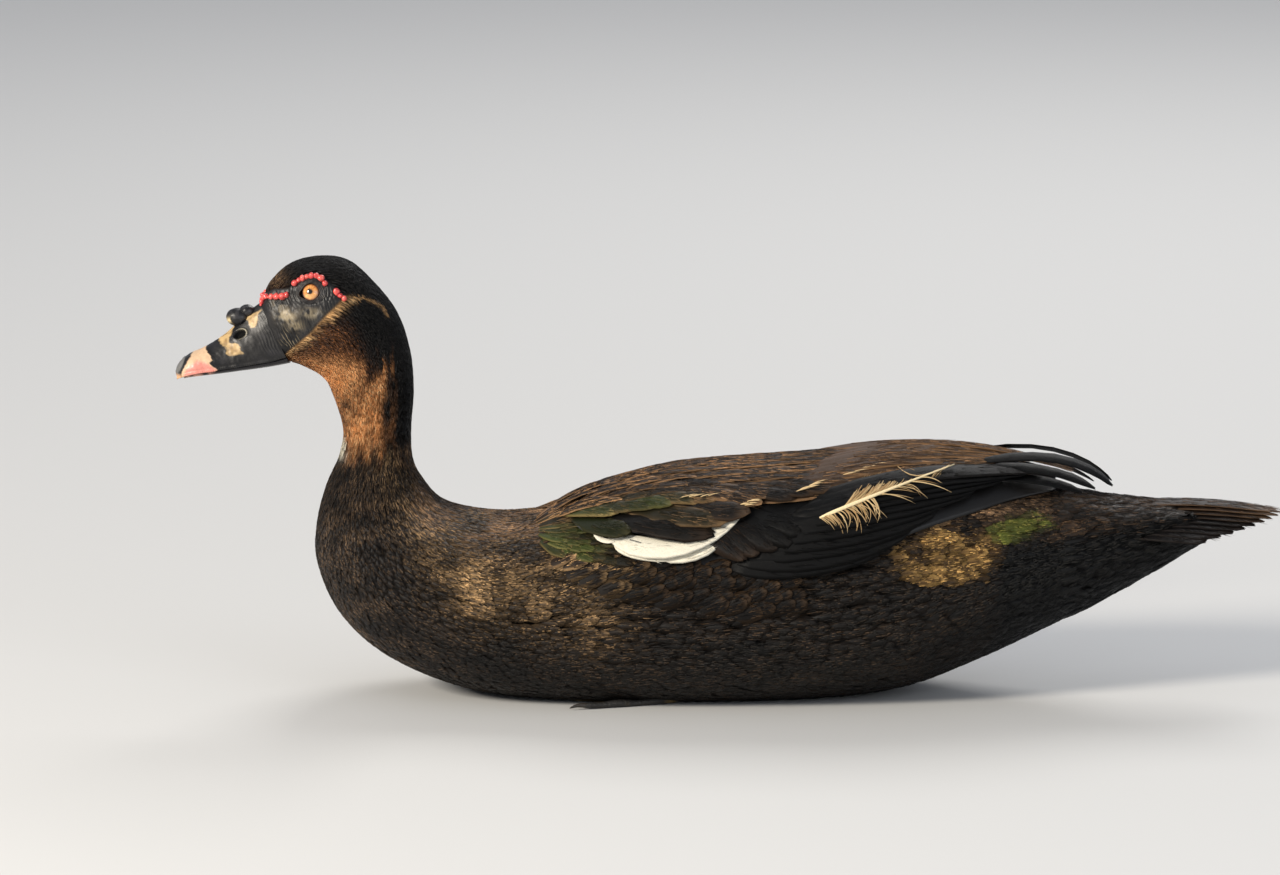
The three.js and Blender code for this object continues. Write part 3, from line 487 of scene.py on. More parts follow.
def markings(points, k, angle):
    # colour of a feather's vane and of its pale edge, and how far the edge colour goes, by place: the pale
    # edges are partly worn fringes and partly painted highlight of sun on the feather tips; each patch is
    # laid over the one before it by a smooth mask
    x, y, z = np.moveaxis(points, -1, 0)
    down = np.abs((angle + pi) % (2 * pi) - pi)  # 0 on the back line, pi on the belly line
    blotch, fine = noise(points, 14, 1), noise(points, 4, 2)
    ones = np.ones(x.shape + (1,))
    base, edge, share = ones * tones["belly"], ones * tones["flankEdge"], np.full(x.shape, 0.3)

    def lay(mask, vane, rim, much):
        nonlocal base, edge, share
        base, edge = mixed(base, tones[vane], mask), mixed(edge, tones[rim], mask)
        share = share * (1 - mask) + much * mask

    flow = noise(np.stack([x / 5, y, z], -1), 3.2, 3)  # streaks that run along the body
    # painted shade: the belly colour underneath and the flank colour low on the side are near black, for the
    # shade under the body and the folded wing, over feathers that are dark themselves
    lay(ramp(2.5, 2.0, down), "flank", "flankEdge", 0.5)
    # painted highlight: the pale edges of the side, back and breast stand partly for sun on the feather tips,
    # strongest on the front of the side where the light falls
    lay(ramp(2.1, 1.3, down) * ramp(-45, -95, x), "side", "sideEdge", 0.75)
    lay(ramp(1.2, 0.7, down) * ramp(0.15, 0.6, blotch), "back", "backEdge", 0.8)
    lay(ramp(-158, -205, x + 0.3 * (z - 60)), "breast", "breastEdge", 0.5)
    # painted light: the golden patch low on the rear flank stands for sun on the brown feathers there
    scallop = noise(points, 7, 9)
    lay(ramp(0.75, 1.1, down) * ramp(0.2, 0.6, spot(x, z, 125, 93, 30, 17) * (0.9 * blotch + scallop)),
        "gold", "goldEdge", 0.9)
    lay(ramp(150, 195, x) * ramp(1.7, 1.1, down), "rump", "rumpEdge", 0.75)
    # painted shade: near black under the tail, partly the dark undertail feathers and partly the shade of the
    # body falling there
    lay(ramp(148, 160, x) * ramp(101, 94, z - 0.118 * (x - 190)), "under", "under", 0.1)
    # painted sheen: the green patch by the rump stands for the feathers' green gloss where the light catches
    # it
    gloss = spot(x, z, 161, 106, 12, 8) + spot(x, z, 180, 108.5, 9, 6)
    lay(ramp(0.3, 0.6, down) * ramp(0.2, 0.6, gloss * (0.25 + flow)), "green", "greenEdge", 0.8)
    grow = noise(np.stack([x, y, z / 6], -1), 2.2, 5)  # streaks that run down the neck
    # partly feather colour, partly painted light and shade: the back of the neck is near black, partly for
    # shade, and the front of the neck and of the lower head a lit orange brown with pale edges, partly for
    # the sun on the front
    neck = ramp(142, 164, z + 14 * (grow - 0.5)) * ramp(-170, -180, x)
    lay(neck, "crown", "crown", 0.1)
    front = ramp(1.05, 1.85, down + 0.7 * (grow - 0.5) + 0.3 * (blotch - 0.5))
    lay(neck * front, "neck", "neckPale", 0.7)
    lay(ramp(2.5, 2.75, down + 0.3 * (grow - 0.5)) * ramp(160, 156, z) * ramp(144, 149, z) * (x < -200),
        "white", "white", 0.2)
    head = ramp(7.4, 6.0, k + 1.4 * (grow - 0.5))
    lay(head, "crown", "crown", 0.15)
    lay(head * ramp(1.2, 1.75, down + 0.3 * (blotch - 0.5)) * ramp(-206, -226, x), "cheek", "neck", 0.6)
    lay(head * ramp(2.2, 2.7, down), "throat", "neckPale", 0.5)
    lay(head * ramp(1.4, 2.0, down + 0.6 * (grow - 0.5)) * ramp(214, 194, z), "neck", "neckPale", 0.6)
    lay(head * spot(x, z, -277, 253, 9, 7), "forehead", "neckPale", 0.6)
    streak = noise(np.stack([x - z, y, (x + z) * 3], -1), 4, 4)
    fringe = ramp(5.5, 0, nearLine(face["fringe"], x, z) + 4 * (streak - 0.4)) * np.where(k < 7, 1, 0)
    lay(fringe, "fringe", "tan", 0.8)
    lay(0.6 * ramp(1.4, 0.4, nearLine(face["arc"], x, z)) * np.where(k < 7, 1, 0), "fringe", "tan", 0.4)
    share = np.clip(share * (0.55 + 0.9 * blotch), 0, 1)
    shade = (0.12 + 0.4 * fine + 1.25 * noise(np.stack([x / 2.5, y, z], -1), 8, 6))[..., None]
    return base * shade, edge * shade ** 1.4, share


def hornColour(points):
    # black horn and skin with slate-grey clouds
    return mottled(points, "0c0b0c", "222124", 5, 17, 0.6, 0.5, 0.85)


def wrinkles(points):
    # height in mm along a slanting direction, drawn out of line by noise: its waves are the folds
    x, z = points[..., 0], points[..., 2]
    return x * cos(0.45) + z * sin(0.45) + 2.6 * noise(points, 6, 8) + 1.0 * noise(points, 2.5, 7)


def foldWave(points):
    # 1 on the crest of each fold, -1 in the valley between two
    return np.cos(2 * pi * wrinkles(points) / face["foldWidth"])


def skinColour(points, k, angle):
    # under the coat the coat's own colour, and on the face black skin with greyish tan mottling
    x, z = points[..., 0], points[..., 2]
    coat = markings(points, k, angle)[0]
    fine, rough = noise(points, 1.6, 5), noise(points, 4.2, 6)
    bare = hornColour(points)
    for cx, cz, rx, rz, much in face["mottles"]:
        patch = spot(x, z, cx, cz, rx, rz) * ramp(0.3, 0.55, 0.45 * fine + 0.55 * rough)
        bare = mixed(bare, tones["mottle"], np.clip(patch * 1.5, 0, 1) * much)
    creases = spot(x, z, -264.5, 217, 5.5, 9) * ramp(0.5, 0.95, foldWave(points)) * ramp(0.4, 0.65, rough)
    bare = mixed(bare, tones["mottle"], creases * 0.75)
    return mixed(coat * 0.8, bare, bareShare(x, z) * (k < 7))


def coatDepth(k, x, z):
    # how far the skin lies inside the solids: the thickness of the feathers on it
    thick = np.interp(k, [0, 3, 6, 9, 11, 13, 16, 23, 25], [0.5, 0.9, 1.1, 1.4, 2.4, 4, 5, 4, 2])
    return thick * (1 - bareShare(x, z) * (k < 7))


skin = {  # first and last section and number of each stretch of rows, points around, and in mm:
    # ripples round the eye, size, seed and height of the grain, and depth of the eye's socket
    "rows": [(0, 4.2, 190), (4.2, 7, 50), (7, 12, 50), (12, 25, 80)], "around": 210,
    "ripple": 0.22, "rippleWidth": 1.7, "grain": [(1.3, 9, 0.45), (3.6, 10, 0.8)], "socket": 2.6,
}


def makeSkin():
    # one skin from the bill's root to the rump, finest on the face: the form, less the coat, with
    # rings of wrinkles round the eye, slanting folds before the cheek and a pebbled grain
    k = [np.linspace(first, last, count, endpoint=last == 25) for first, last, count in skin["rows"]]
    k = np.concatenate(k)[:, None]
    angle = np.linspace(0, 2 * pi, skin["around"], endpoint=False)[None]
    k, angle = np.broadcast_arrays(k, angle)
    at, out = bodyAt(k, angle)
    x, y, z = np.moveaxis(at, -1, 0)
    bare = bareShare(x, z) * (k < 7)
    around = np.hypot((x - eye["x"]) / 1.25, z - eye["z"])
    ripple = skin["ripple"] * np.cos(2 * pi * around / skin["rippleWidth"])
    ripple = ripple * np.exp(-((around - 8.6) / 2.6) ** 2)
    wave = foldWave(at)
    folds = np.zeros(x.shape)
    for cx, cz, rx, rz, much in face["folds"]:
        folds = folds + much * wave * spot(x, z, cx, cz, rx, rz)
    grain = sum(much * (noise(at, size, seed) - 0.5) for size, seed, much in skin["grain"])
    socket = skin["socket"] * ramp(7.2, 4.6, np.hypot((x - eye["x"]) / 1.3, z - eye["z"])) * (np.abs(y) > 6)
    lift = bare * ((ripple + folds + grain) * ramp(0, 0.7, k) - socket) - coatDepth(k, x, z)
    points, faces = closedLoft(at + out * lift[..., None])
    tint = skinColour(at, k, angle).reshape(-1, 3)
    tint = np.concatenate([tint, tint[:1], tint[-1:]])
    matt = np.append(1 - bare.ravel(), [0, 1])
    replaced = ("head", "neck", "torso")
    meshPiece("skin", points, faces, finishes["skin"], "head_skin", replaced, tint, matt=matt)


# Eyes, lids and caruncles

def eyeFrame():
    # centre of the left eye and its axes: outward, rearward and up over the face
    k, angle = faceAt(eye["x"], eye["z"])
    at, out = bodyAt(k, angle)
    rear = unit(np.array([1.0, 0, 0]) - out * out[0])
    return at, out, rear, np.cross(out, rear)


def makeEyes():
    # a ball whose rings run from the middle of the pupil to the back, coloured by the distance
    # from the middle: pupil, iris with fine rays, dark rim
    at, out, rear, up = eyeFrame()
    turn = np.linspace(0.02, pi, 44)[:, None]
    around = np.linspace(0, 2 * pi, 56, endpoint=False)[None]
    r = eye["radius"]
    flat = r * np.sin(turn) * np.ones(around.shape)
    bulge = r * np.cos(turn) + 0.35 * np.exp(-(flat / 3.5) ** 2) * (turn < 1)
    grid = (at - out * eye["inset"] + out * bulge[..., None]
            - (flat * np.cos(around))[..., None] * rear + (flat * np.sin(around))[..., None] * up)
    dx = flat * np.cos(around) + eye["offset"][0]
    dz = flat * np.sin(around) - eye["offset"][1]
    far = np.hypot(dx, dz)
    spokes = [np.cos(around) * 9 + 0 * far, np.sin(around) * 9 + 0 * far, far * 0.5]
    rays = noise(np.stack(spokes, -1), 1, 4)
    iris = mixed(tone("b8702c"), tone("dc9c52"), ramp(0.3, 0.8, rays))
    dark = np.clip(0.9 * ramp(3.7, 4.8, flat) + 0.6 * ramp(2.9, 1.6, far), 0, 1)
    iris = mixed(iris, tone("5e2d10"), dark)
    iris = mixed(iris, tone("eebd7c"), 0.5 * ramp(2.0, -4.0, dz) * ramp(4.7, 3.8, flat))
    tint = mixed(iris, tone("060505"), np.maximum(ramp(eye["pupil"] + 0.15, eye["pupil"], far),
                                                  ramp(eye["iris"] - 0.1, eye["iris"] + 0.15, flat)))
    bothSides("eyeball", *closedLoft(grid), "eye", "eye", ["eye"], capped(tint))


def makeLids():
    # a ring of skin round each eye: its section is a closed loop of (share of the width, height),
    # carried round the opening and out to an oval
    loop = np.array([
        (0.0, -1.3), (0.0, -0.2), (0.05, 0.42), (0.16, 0.62), (0.3, 0.42), (0.4, 0.62), (0.54, 0.38),
        (0.64, 0.5), (0.78, 0.2), (0.88, 0.25), (1.0, -0.35), (0.95, -1.4), (0.5, -1.9),
    ])
    section = between(np.concatenate([loop, loop[:1]]), np.linspace(0, len(loop), 60, endpoint=False))
    around = np.linspace(0, 2 * pi, 96, endpoint=False)[:, None]
    corner = np.maximum(0, np.cos(around - pi - 0.25)) ** 10  # towards the bill and a little down
    rear = np.maximum(0, np.cos(around + 0.1)) ** 10
    inner = 4.75 + 2.3 * corner + 0.6 * rear
    outer = 1 / np.sqrt((np.cos(around) / 9.4) ** 2 + (np.sin(around) / 6.9) ** 2)
    reach = inner + (outer - inner) * section[None, :, 0]
    x = eye["x"] + reach * np.cos(around)
    z = eye["z"] + reach * np.sin(around)
    wave = 0.12 * np.sin(around * 9 + 3 * section[None, :, 0]) * section[None, :, 0]
    k, angle = faceAt(x, z)
    at, _ = bodyAt(k, angle, section[None, :, 1] + wave)
    faces = gridFaces(len(around) + 1, section.shape[0], True) % (len(around) * section.shape[0])
    tint = mottled(at, "161416", "3b3632", 1.2, 12, 0.6, 0.45)
    rim = ramp(0.12, 0.0, section[None, :, 0]) * ramp(-0.6, 0.3, section[None, :, 1])
    tint = mixed(tint, tone("4a2c1c"), rim * 0.6 * np.ones(around.shape)).reshape(-1, 3)
    bothSides("eyelid", at.reshape(-1, 3), [faces[:, ::-1]], "skin", "head_skin", [], tint)


caruncles = {  # x, z and radius of each bulb, in rows before, over and behind the eye
    "bulbs": np.array([
        (-283.2, 241.8, 1.6), (-281.6, 243.6, 1.9), (-279.2, 242.0, 1.7), (-276.0, 242.6, 1.5),
        (-273.2, 243.0, 2.1), (-269.8, 243.6, 2.2), (-267.2, 244.6, 1.5),
        (-261.6, 251.4, 1.8), (-259.0, 253.0, 1.3), (-256.6, 254.0, 1.7), (-254.0, 254.8, 1.4),
        (-251.4, 255.2, 1.6), (-248.6, 255.4, 1.5), (-245.8, 254.4, 1.9), (-243.4, 251.8, 1.6),
        (-236.6, 247.2, 1.7), (-234.4, 245.0, 1.4), (-232.0, 243.2, 1.5), (-289.0, 234.6, 0.9),
    ]),
    "seed": 21,
}


def makeCaruncles():
    # each bulb is a ball drawn out of round, dented by noise, and half sunk in the face
    draw = np.random.default_rng(caruncles["seed"])
    rows = caruncles["bulbs"]
    small = (rows[1:] + rows[:-1]) / 2 + draw.normal(0, 0.5, (len(rows) - 1, 3)) * [1, 1, 0]
    small = small[np.linalg.norm(rows[1:, :2] - rows[:-1, :2], axis=1) < 3.4] * [1, 1, 0.5]
    left = np.concatenate([rows * [1, 1, 1.1], small])
    bulbs = np.concatenate([left, left + draw.normal(0, 0.35, left.shape) * [1, 1, 0.4]])
    right = np.arange(len(bulbs)) >= len(left)
    k, angle = faceAt(bulbs[:, 0], bulbs[:, 1])
    at, out = bodyAt(k, np.maximum(angle, 0.3))
    turn = np.linspace(0, pi, 12)[None, :, None]
    around = np.linspace(0, 2 * pi, 18, endpoint=False)[None, None]
    ball = np.stack([np.sin(turn) * np.cos(around), np.sin(turn) * np.sin(around),
                     np.cos(turn) + 0 * around], -1)
    stretch = 1 + draw.uniform(-0.16, 0.22, (len(bulbs), 1, 1, 3))
    radius = np.maximum(bulbs[:, 2], 0.7)[:, None, None, None]
    grid = ball * stretch * radius
    grid = grid * (0.84 + 0.34 * noise(grid + at[:, None, None] * 3, 1.4, 13))[..., None]
    grid = grid + at[:, None, None] + out[:, None, None] * radius * 0.3
    grid[right] *= [1, -1, 1]
    one = gridFaces(12, 18, True)
    flipped = np.where(right[:, None, None], one[None, :, ::-1], one[None])
    faces = (flipped + (np.arange(len(bulbs)) * 12 * 18)[:, None, None]).reshape(-1, 4)
    pale = 0.35 * draw.random(len(bulbs))[:, None, None] * np.ones(grid.shape[:3])
    tint = mixed(mottled(grid, "b4262f", "e4584f", 1.1, 14, 1.0, 0.3, 0.85), tone("ea7a68"), pale)
    meshPiece("caruncles", grid.reshape(-1, 3), [faces[:, ::-1]], finishes["caruncle"], "head_skin", (),
              tint.reshape(-1, 3))


# The bill: sections from its root to its tip, each with its points on the ridge (x, z), on the
# edge of the upper half (x, z) and under the lower half (x, z), half its width, and how square
# its roof is.
billRows = np.array([
    [-283, 237.5, -267.2, 205.5, -265, 201, 13.4, 1.9],
    [-289.5, 232, -275.5, 203.3, -274, 199.3, 13.2, 1.7],
    [-297.5, 224.5, -285, 201.5, -284, 197.7, 12.9, 1.65],
    [-305.5, 217.5, -295, 199.8, -294.5, 196.3, 12.5, 1.7],
    [-312.5, 212.7, -304.5, 198.2, -304, 195, 12.2, 1.85],
    [-319, 209.2, -313, 196.7, -313, 193.9, 12.1, 2.1],
    [-325.5, 206.2, -321.5, 195.4, -321.5, 192.9, 11.6, 2.3],
    [-330, 203, -327.5, 193.9, -327.5, 192, 10, 2.4],
    [-332.8, 199.2, -331.4, 192.2, -331, 191, 7.2, 2.4],
    [-334.2, 194.8, -333.6, 190.8, -333, 190, 3.4, 2.2],
])
bill = {
    "along": 200, "roof": 96, "palate": 12,  # points of the upper half along it and across
    "nostril": {"x": -295.5, "z": 219, "long": 4.1, "high": 2.4, "tilt": 0.45, "deep": 3.4},
    "nail": {"x": -331.5, "z": 200, "lean": 0.35, "long": 4.6, "wide": 6.0, "stain": 7.2},
    "knob": [(-297, 228.5, 6.8, 5.8, 5.6), (-291, 232.3, 4.8, 5.0, 3.7)],
    "knobSpot": (-301.9, 226.9, 1.5, 1.6),
    "pink": [(-331.2, 194.4), (-328.4, 200.6), (-324, 207.1), (-317.6, 212.5), (-311.9, 203.8),
             (-314.3, 202), (-308.9, 198.5), (-312, 194), (-328, 192)],
    "rosy": [(-329.5, 194), (-327, 199), (-320.5, 203.8), (-316, 201.8), (-309.5, 198.4), (-312, 194)],
    "cream": [(-309.3, 217), (-306.1, 220), (-301.1, 226), (-297.9, 226.5), (-300.9, 218.8),
              (-302.1, 214.2), (-296.6, 213), (-293.1, 208.1), (-300.9, 206.3), (-303.3, 207.9),
              (-303.5, 210.9), (-307.6, 212.6)],
    "creamBack": [(-293.9, 230.3), (-287.5, 231), (-281.8, 234.2), (-284.8, 230.3), (-284.2, 227.2),
                  (-286.5, 223.2), (-289, 222.9), (-289.9, 226.2), (-292.3, 228.3)],
    "brownSpots": [(-300.5, 210.5, 2.0, 1.6), (-297.5, 209.5, 1.2, 1.0), (-304, 214, 1.3, 1.2),
                   (-287, 226.5, 1.0, 1.4)],
}


def nailDistance(x, y, z, wide):
    # distance from the middle of the nail in shares of its oval, which leans with the bill's tip
    n = bill["nail"]
    return np.hypot((x + n["lean"] * (z - n["z"]) - n["x"]) / n["long"], y / wide)


def billColour(points):
    # black horn with a dark nail, a pink tip zone, and cream patches with ragged outlines
    x, y, z = np.moveaxis(points, -1, 0)
    wander = 1.5 * (noise(points, 2.2, 15) - 0.5) + 0.8 * (noise(points, 0.9, 16) - 0.5)

    def mask(name, soft=0.35):
        return ramp(-soft, soft, insideOf(bill[name], x + wander, z + wander * 0.6))

    colour = hornColour(points)
    colour = mixed(colour, tone("c7a98a"), mask("pink"))
    colour = mixed(colour, tone("d07f76"), mask("rosy", 1.2) * 0.9)
    cream = mottled(points, "b89b6c", "8f764f", 1.8, 25, start=0.45)
    colour = mixed(colour, cream, np.maximum(mask("cream"), mask("creamBack")))
    for cx, cz, rx, rz in bill["brownSpots"]:
        colour = mixed(colour, tone("8a6a42"), spot(x, z, cx, cz, rx, rz) * 0.7)
    nail = ramp(1.12, 0.95, nailDistance(x, y, z, bill["nail"]["stain"])) * ramp(190, 193, z)
    colour = mixed(colour, tone("6b6a68"), nail * 0.9)
    tip = ramp(195.4, 192.6, z) * ramp(-328, -331.5, x)
    return mixed(colour, tone("d9a77c"), tip * 0.85)


def billPoints(k, across, rise):
    # linear between the edge and the ridge, or between the edge and the chin, and across
    rx, rz, ex, ez, cx, cz, half, _ = np.moveaxis(between(billRows, k), -1, 0)
    up = rise > 0
    x = ex + np.where(up, rx - ex, ex - cx) * rise
    z = ez + np.where(up, rz - ez, ez - cz) * rise
    return np.stack([x, across * half, z], -1)


def nostrilDepth(x, y, z):
    # distance from the nostril's middle in shares of its oval: hollow within, a low rim around
    n = bill["nostril"]
    dx, dz = x - n["x"], z - n["z"]
    far = np.hypot((dx * cos(n["tilt"]) + dz * sin(n["tilt"])) / n["long"],
                   (dz * cos(n["tilt"]) - dx * sin(n["tilt"])) / n["high"])
    hollow = n["deep"] * ramp(1.0, 0.7, far)
    rim = 0.3 * np.exp(-((far - 1.12) / 0.12) ** 2)
    return (rim - hollow) * (np.abs(y) > 3), far


def makeBill():
    # upper half: an arched roof over a hollow palate, with nostrils, nail, comb-like edge and a
    # groove along the edge
    k = np.linspace(0, len(billRows) - 1, bill["along"])[:, None]
    power = 2 / between(billRows, k)[..., 7]
    arch = np.linspace(-pi / 2, pi / 2, bill["roof"])[None]
    across = np.sign(arch) * np.abs(np.sin(arch)) ** power
    roof = billPoints(k, across, np.maximum(np.cos(arch), 0) ** power)
    under = np.linspace(0.93, -0.93, bill["palate"])[None]
    palate = billPoints(k, under + 0 * k, 0.16 * (1 - under ** 2) + 0 * k + 0.004)
    grid = np.concatenate([roof, palate], 1)
    out = gridNormals(grid)
    x, y, z = np.moveaxis(grid, -1, 0)
    rise, far = nostrilDepth(x, y, z)
    ex, ez = np.moveaxis(between(billRows, k), -1, 0)[2:4]
    overEdge = np.hypot(x - ex, z - ez)
    groove = -0.28 * np.exp(-((overEdge - 2.3) / 0.55) ** 2)
    comb = 0.12 * np.sin(2 * pi * x / 1.3) * ramp(1.7, 0.7, overEdge) * ramp(-326, -318, x)
    plate = 0.4 * ramp(1.08, 0.9, nailDistance(x, y, z, bill["nail"]["wide"]))
    lumps = 0.5 * (noise(grid, 5, 18) - 0.5) + 0.2 * (noise(grid, 1.6, 19) - 0.5)
    creased = 0.14 * foldWave(grid) * ramp(-287, -276, x) * ramp(206, 212, z)
    isRoof = np.arange(grid.shape[1])[None] < bill["roof"]
    lift = (rise + groove + comb + plate + lumps + creased) * isRoof
    lift = lift * ramp(0, 0.25, k)
    grid = grid + out * lift[..., None]
    tint = billColour(grid)
    beside = isRoof * (np.abs(y) > 3)
    tint = mixed(tint, tone("0e0d0f"), ramp(1.75, 1.3, far + 0.3 * noise(grid, 2, 21)) * beside)
    paleRim = 0.75 * np.exp(-((far - 1.1) / 0.1) ** 2) * beside * ramp(-298, -294, x)
    tint = mixed(tint, tone("a09880"), paleRim)
    # painted shade: near black inside each nostril, for the shade in the hollow
    hole = ramp(0.98, 0.86, far) * beside
    tint = mixed(tint, tone("020202"), hole)
    points, faces = closedLoft(grid)
    matt = np.append(np.maximum(hole, 0.12 * ramp(-300, -286, x)).ravel(), [0, 0])
    tint = capped(tint)
    meshPiece("upper_bill", points, faces, finishes["bill"], "bill", ("bill_upper",), tint, matt=matt)
    makeLowerBill()


def makeLowerBill():
    # a shallow trough that closes inside the upper edge
    k = np.linspace(0, 7.4, 90)[:, None]
    ex, ez, cx, cz, half = np.moveaxis(between(billRows, k), -1, 0)[2:7]
    arch = np.linspace(-pi / 2, pi / 2, 40)[None]
    fit = (half - 1.1) / half
    across = -np.sign(arch) * fit * np.abs(np.sin(arch)) ** 0.8
    deep = 0.3 / np.hypot(ex - cx, ez - cz)
    grid = billPoints(k, across, -(deep + (1 - deep) * np.maximum(np.cos(arch), 0) ** 0.8))
    pink = ramp(-309, -316, grid[..., 0]) * ramp(0.3, 0.6, noise(grid, 3, 20))
    tint = capped(mixed(tone("17151a"), tone("b98a76"), pink))
    meshPiece("lower_bill", *closedLoft(grid), finishes["bill"], "bill", ("bill_lower",), tint)


def makeKnob():
    # two balls over the root of the bill, wrinkled by noise, with a crease where they meet
    parts = []
    for x, z, rx, ry, rz in bill["knob"]:
        turn = np.linspace(0.01, pi - 0.01, 40)[:, None]
        around = np.linspace(0, 2 * pi, 60, endpoint=False)[None]
        ball = np.stack([np.cos(turn) + 0 * around, np.sin(turn) * np.cos(around),
                         np.sin(turn) * np.sin(around)], -1)
        at = ball * [rx, ry, rz] + [x, 0, z]
        dents = 0.35 * (noise(at, 2.4, 22) - 0.5) + 0.14 * (noise(at, 0.9, 23) - 0.5)
        at = at + ball * dents[..., None]
        colour = mottled(at, "131214", "2d2c2e", 2, 24)
        front = spot(at[..., 0], at[..., 2], *bill["knobSpot"])
        colour = mixed(colour, tone("cbb88e"), np.clip(front * 1.2, 0, 1) * (np.abs(at[..., 1]) < 4.6))
        points, faces = closedLoft(at)
        parts.append((points, [f[:, ::-1] for f in faces], capped(colour), []))
    points, faces, tint, _ = joined(parts)
    meshPiece("knob", points, faces, finishes["bill"], "bill", (), tint)


# Feathers

class Plumes:
    # Feathers as whole arrays. Each spine is the curve through three points, at shares 0, 0.5 and
    # 1 of its length; its vane faces along two normals; base, edge and share are its colours.

    def __init__(self, spine, normals, half, base, edge, share, patch):
        self.spine, self.normals, self.half = spine, normals, np.broadcast_to(half, len(spine))
        self.base, self.edge, self.share = base, edge, np.broadcast_to(share, len(spine))
        self.patch, self.rim = patch, np.ones(len(spine))
        self.length = np.linalg.norm(spine[:, 1] - spine[:, 0], axis=-1)
        self.length = self.length + np.linalg.norm(spine[:, 2] - spine[:, 1], axis=-1)

    def only(self, keep):
        picked = Plumes.__new__(Plumes)
        for name, value in vars(self).items():
            setattr(picked, name, value[keep])
        return picked

    def mirrored(self):
        other = self.only(slice(None))
        other.spine, other.normals = self.spine * [1, -1, 1], self.normals * [1, -1, 1]
        return other

    def surface(self, t, u, height, camber):
        # the curve at t, moved across by u half widths and along the up direction by a height,
        # less a camber that grows with the square of the distance from the shaft
        t = np.broadcast_to(t, u.shape)[..., None]
        shape = (slice(None),) + (None,) * (u.ndim - 1)
        a, b, c = (self.spine[:, n][shape] for n in range(3))
        at = a * (1 - t) * (1 - 2 * t) + 4 * b * t * (1 - t) + c * t * (2 * t - 1)
        ahead = a * (4 * t - 3) + 4 * b * (1 - 2 * t) + c * (4 * t - 1)
        facing = self.normals[:, 0][shape] * (1 - t) + self.normals[:, 1][shape] * t
        side = unit(np.cross(ahead, facing))
        up = unit(np.cross(side, ahead))
        wide = self.half[shape[:u.ndim]] * u
        return at + side * wide[..., None] + up * (height - camber * wide ** 2)[..., None]

    def tint(self, t, u):
        # the base colour, going over to the edge colour at the tip and along the margins
        t, u = np.broadcast_arrays(t, u)
        shape = (slice(None),) + (None,) * (u.ndim - 1)
        e = 0.8 * ramp(0.8, 1.0, t) + 0.6 * np.abs(u) ** 6
        e = (self.share * self.rim)[shape] * np.clip(e, 0, 1)
        return mixed(self.base[shape], self.edge[shape], e)


bodyShape = ([0, 0.35, 0.62, 0.84, 1.0], [0.5, 0.9, 1.0, 0.7, 0.16])
patchSize = 0.003


def vanes(f, shape=bodyShape, across=3, thick=0.35, ridge=0.25, camber=0.02, ragged=0.12, seed=0):
    # closed vanes: rows of points across the top and back along the underside at each station
    draw = np.random.default_rng(seed)
    stations, widths = np.array(shape[0]), np.array(shape[1])
    u = np.linspace(-1, 1, across)
    u = np.concatenate([u, u[-2:0:-1]])
    top = np.arange(len(u)) < across
    n, s, c = len(f.spine), len(stations), len(u)
    wide = widths[None, :, None] * (1 + ragged * draw.uniform(-1, 1, (n, s, 1)))
    grown = wide * u
    loose = ragged * 0.25 * draw.uniform(-1, 1, (n, s, c)) * (stations > 0.8)[None, :, None]
    t = np.broadcast_to(stations[None, :, None] + loose, grown.shape)
    above = thick / 2 * (1 - 0.6 * u ** 2) + ridge * (1 - np.abs(u))
    height = np.where(top, above, -thick / 2 * (1 - u ** 2))
    height = height * (0.25 + 0.75 * widths[None, :, None]) + 0 * t
    points = f.surface(t, grown, height, camber)
    one = gridFaces(s, c, True)
    start = (np.arange(n) * s * c)[:, None, None]
    faces = (one[None] + start).reshape(-1, 4)
    ring = np.arange(c)
    caps = np.stack([ring[::-1], ring + (s - 1) * c])
    caps = (caps[None] + start).reshape(-1, c)
    tint = f.tint(t, np.broadcast_to(u, t.shape)).reshape(-1, 3)
    vane = np.stack([grown * f.half[:, None, None], t * f.length[:, None, None]], -1).reshape(-1, 2)
    bake = f.patch[:, None, None] + patchSize * np.stack([grown * 0.5, t - 0.5], -1)
    return points.reshape(-1, 3), [faces, caps], tint, [("vane", vane), ("OFBake", bake.reshape(-1, 2))]


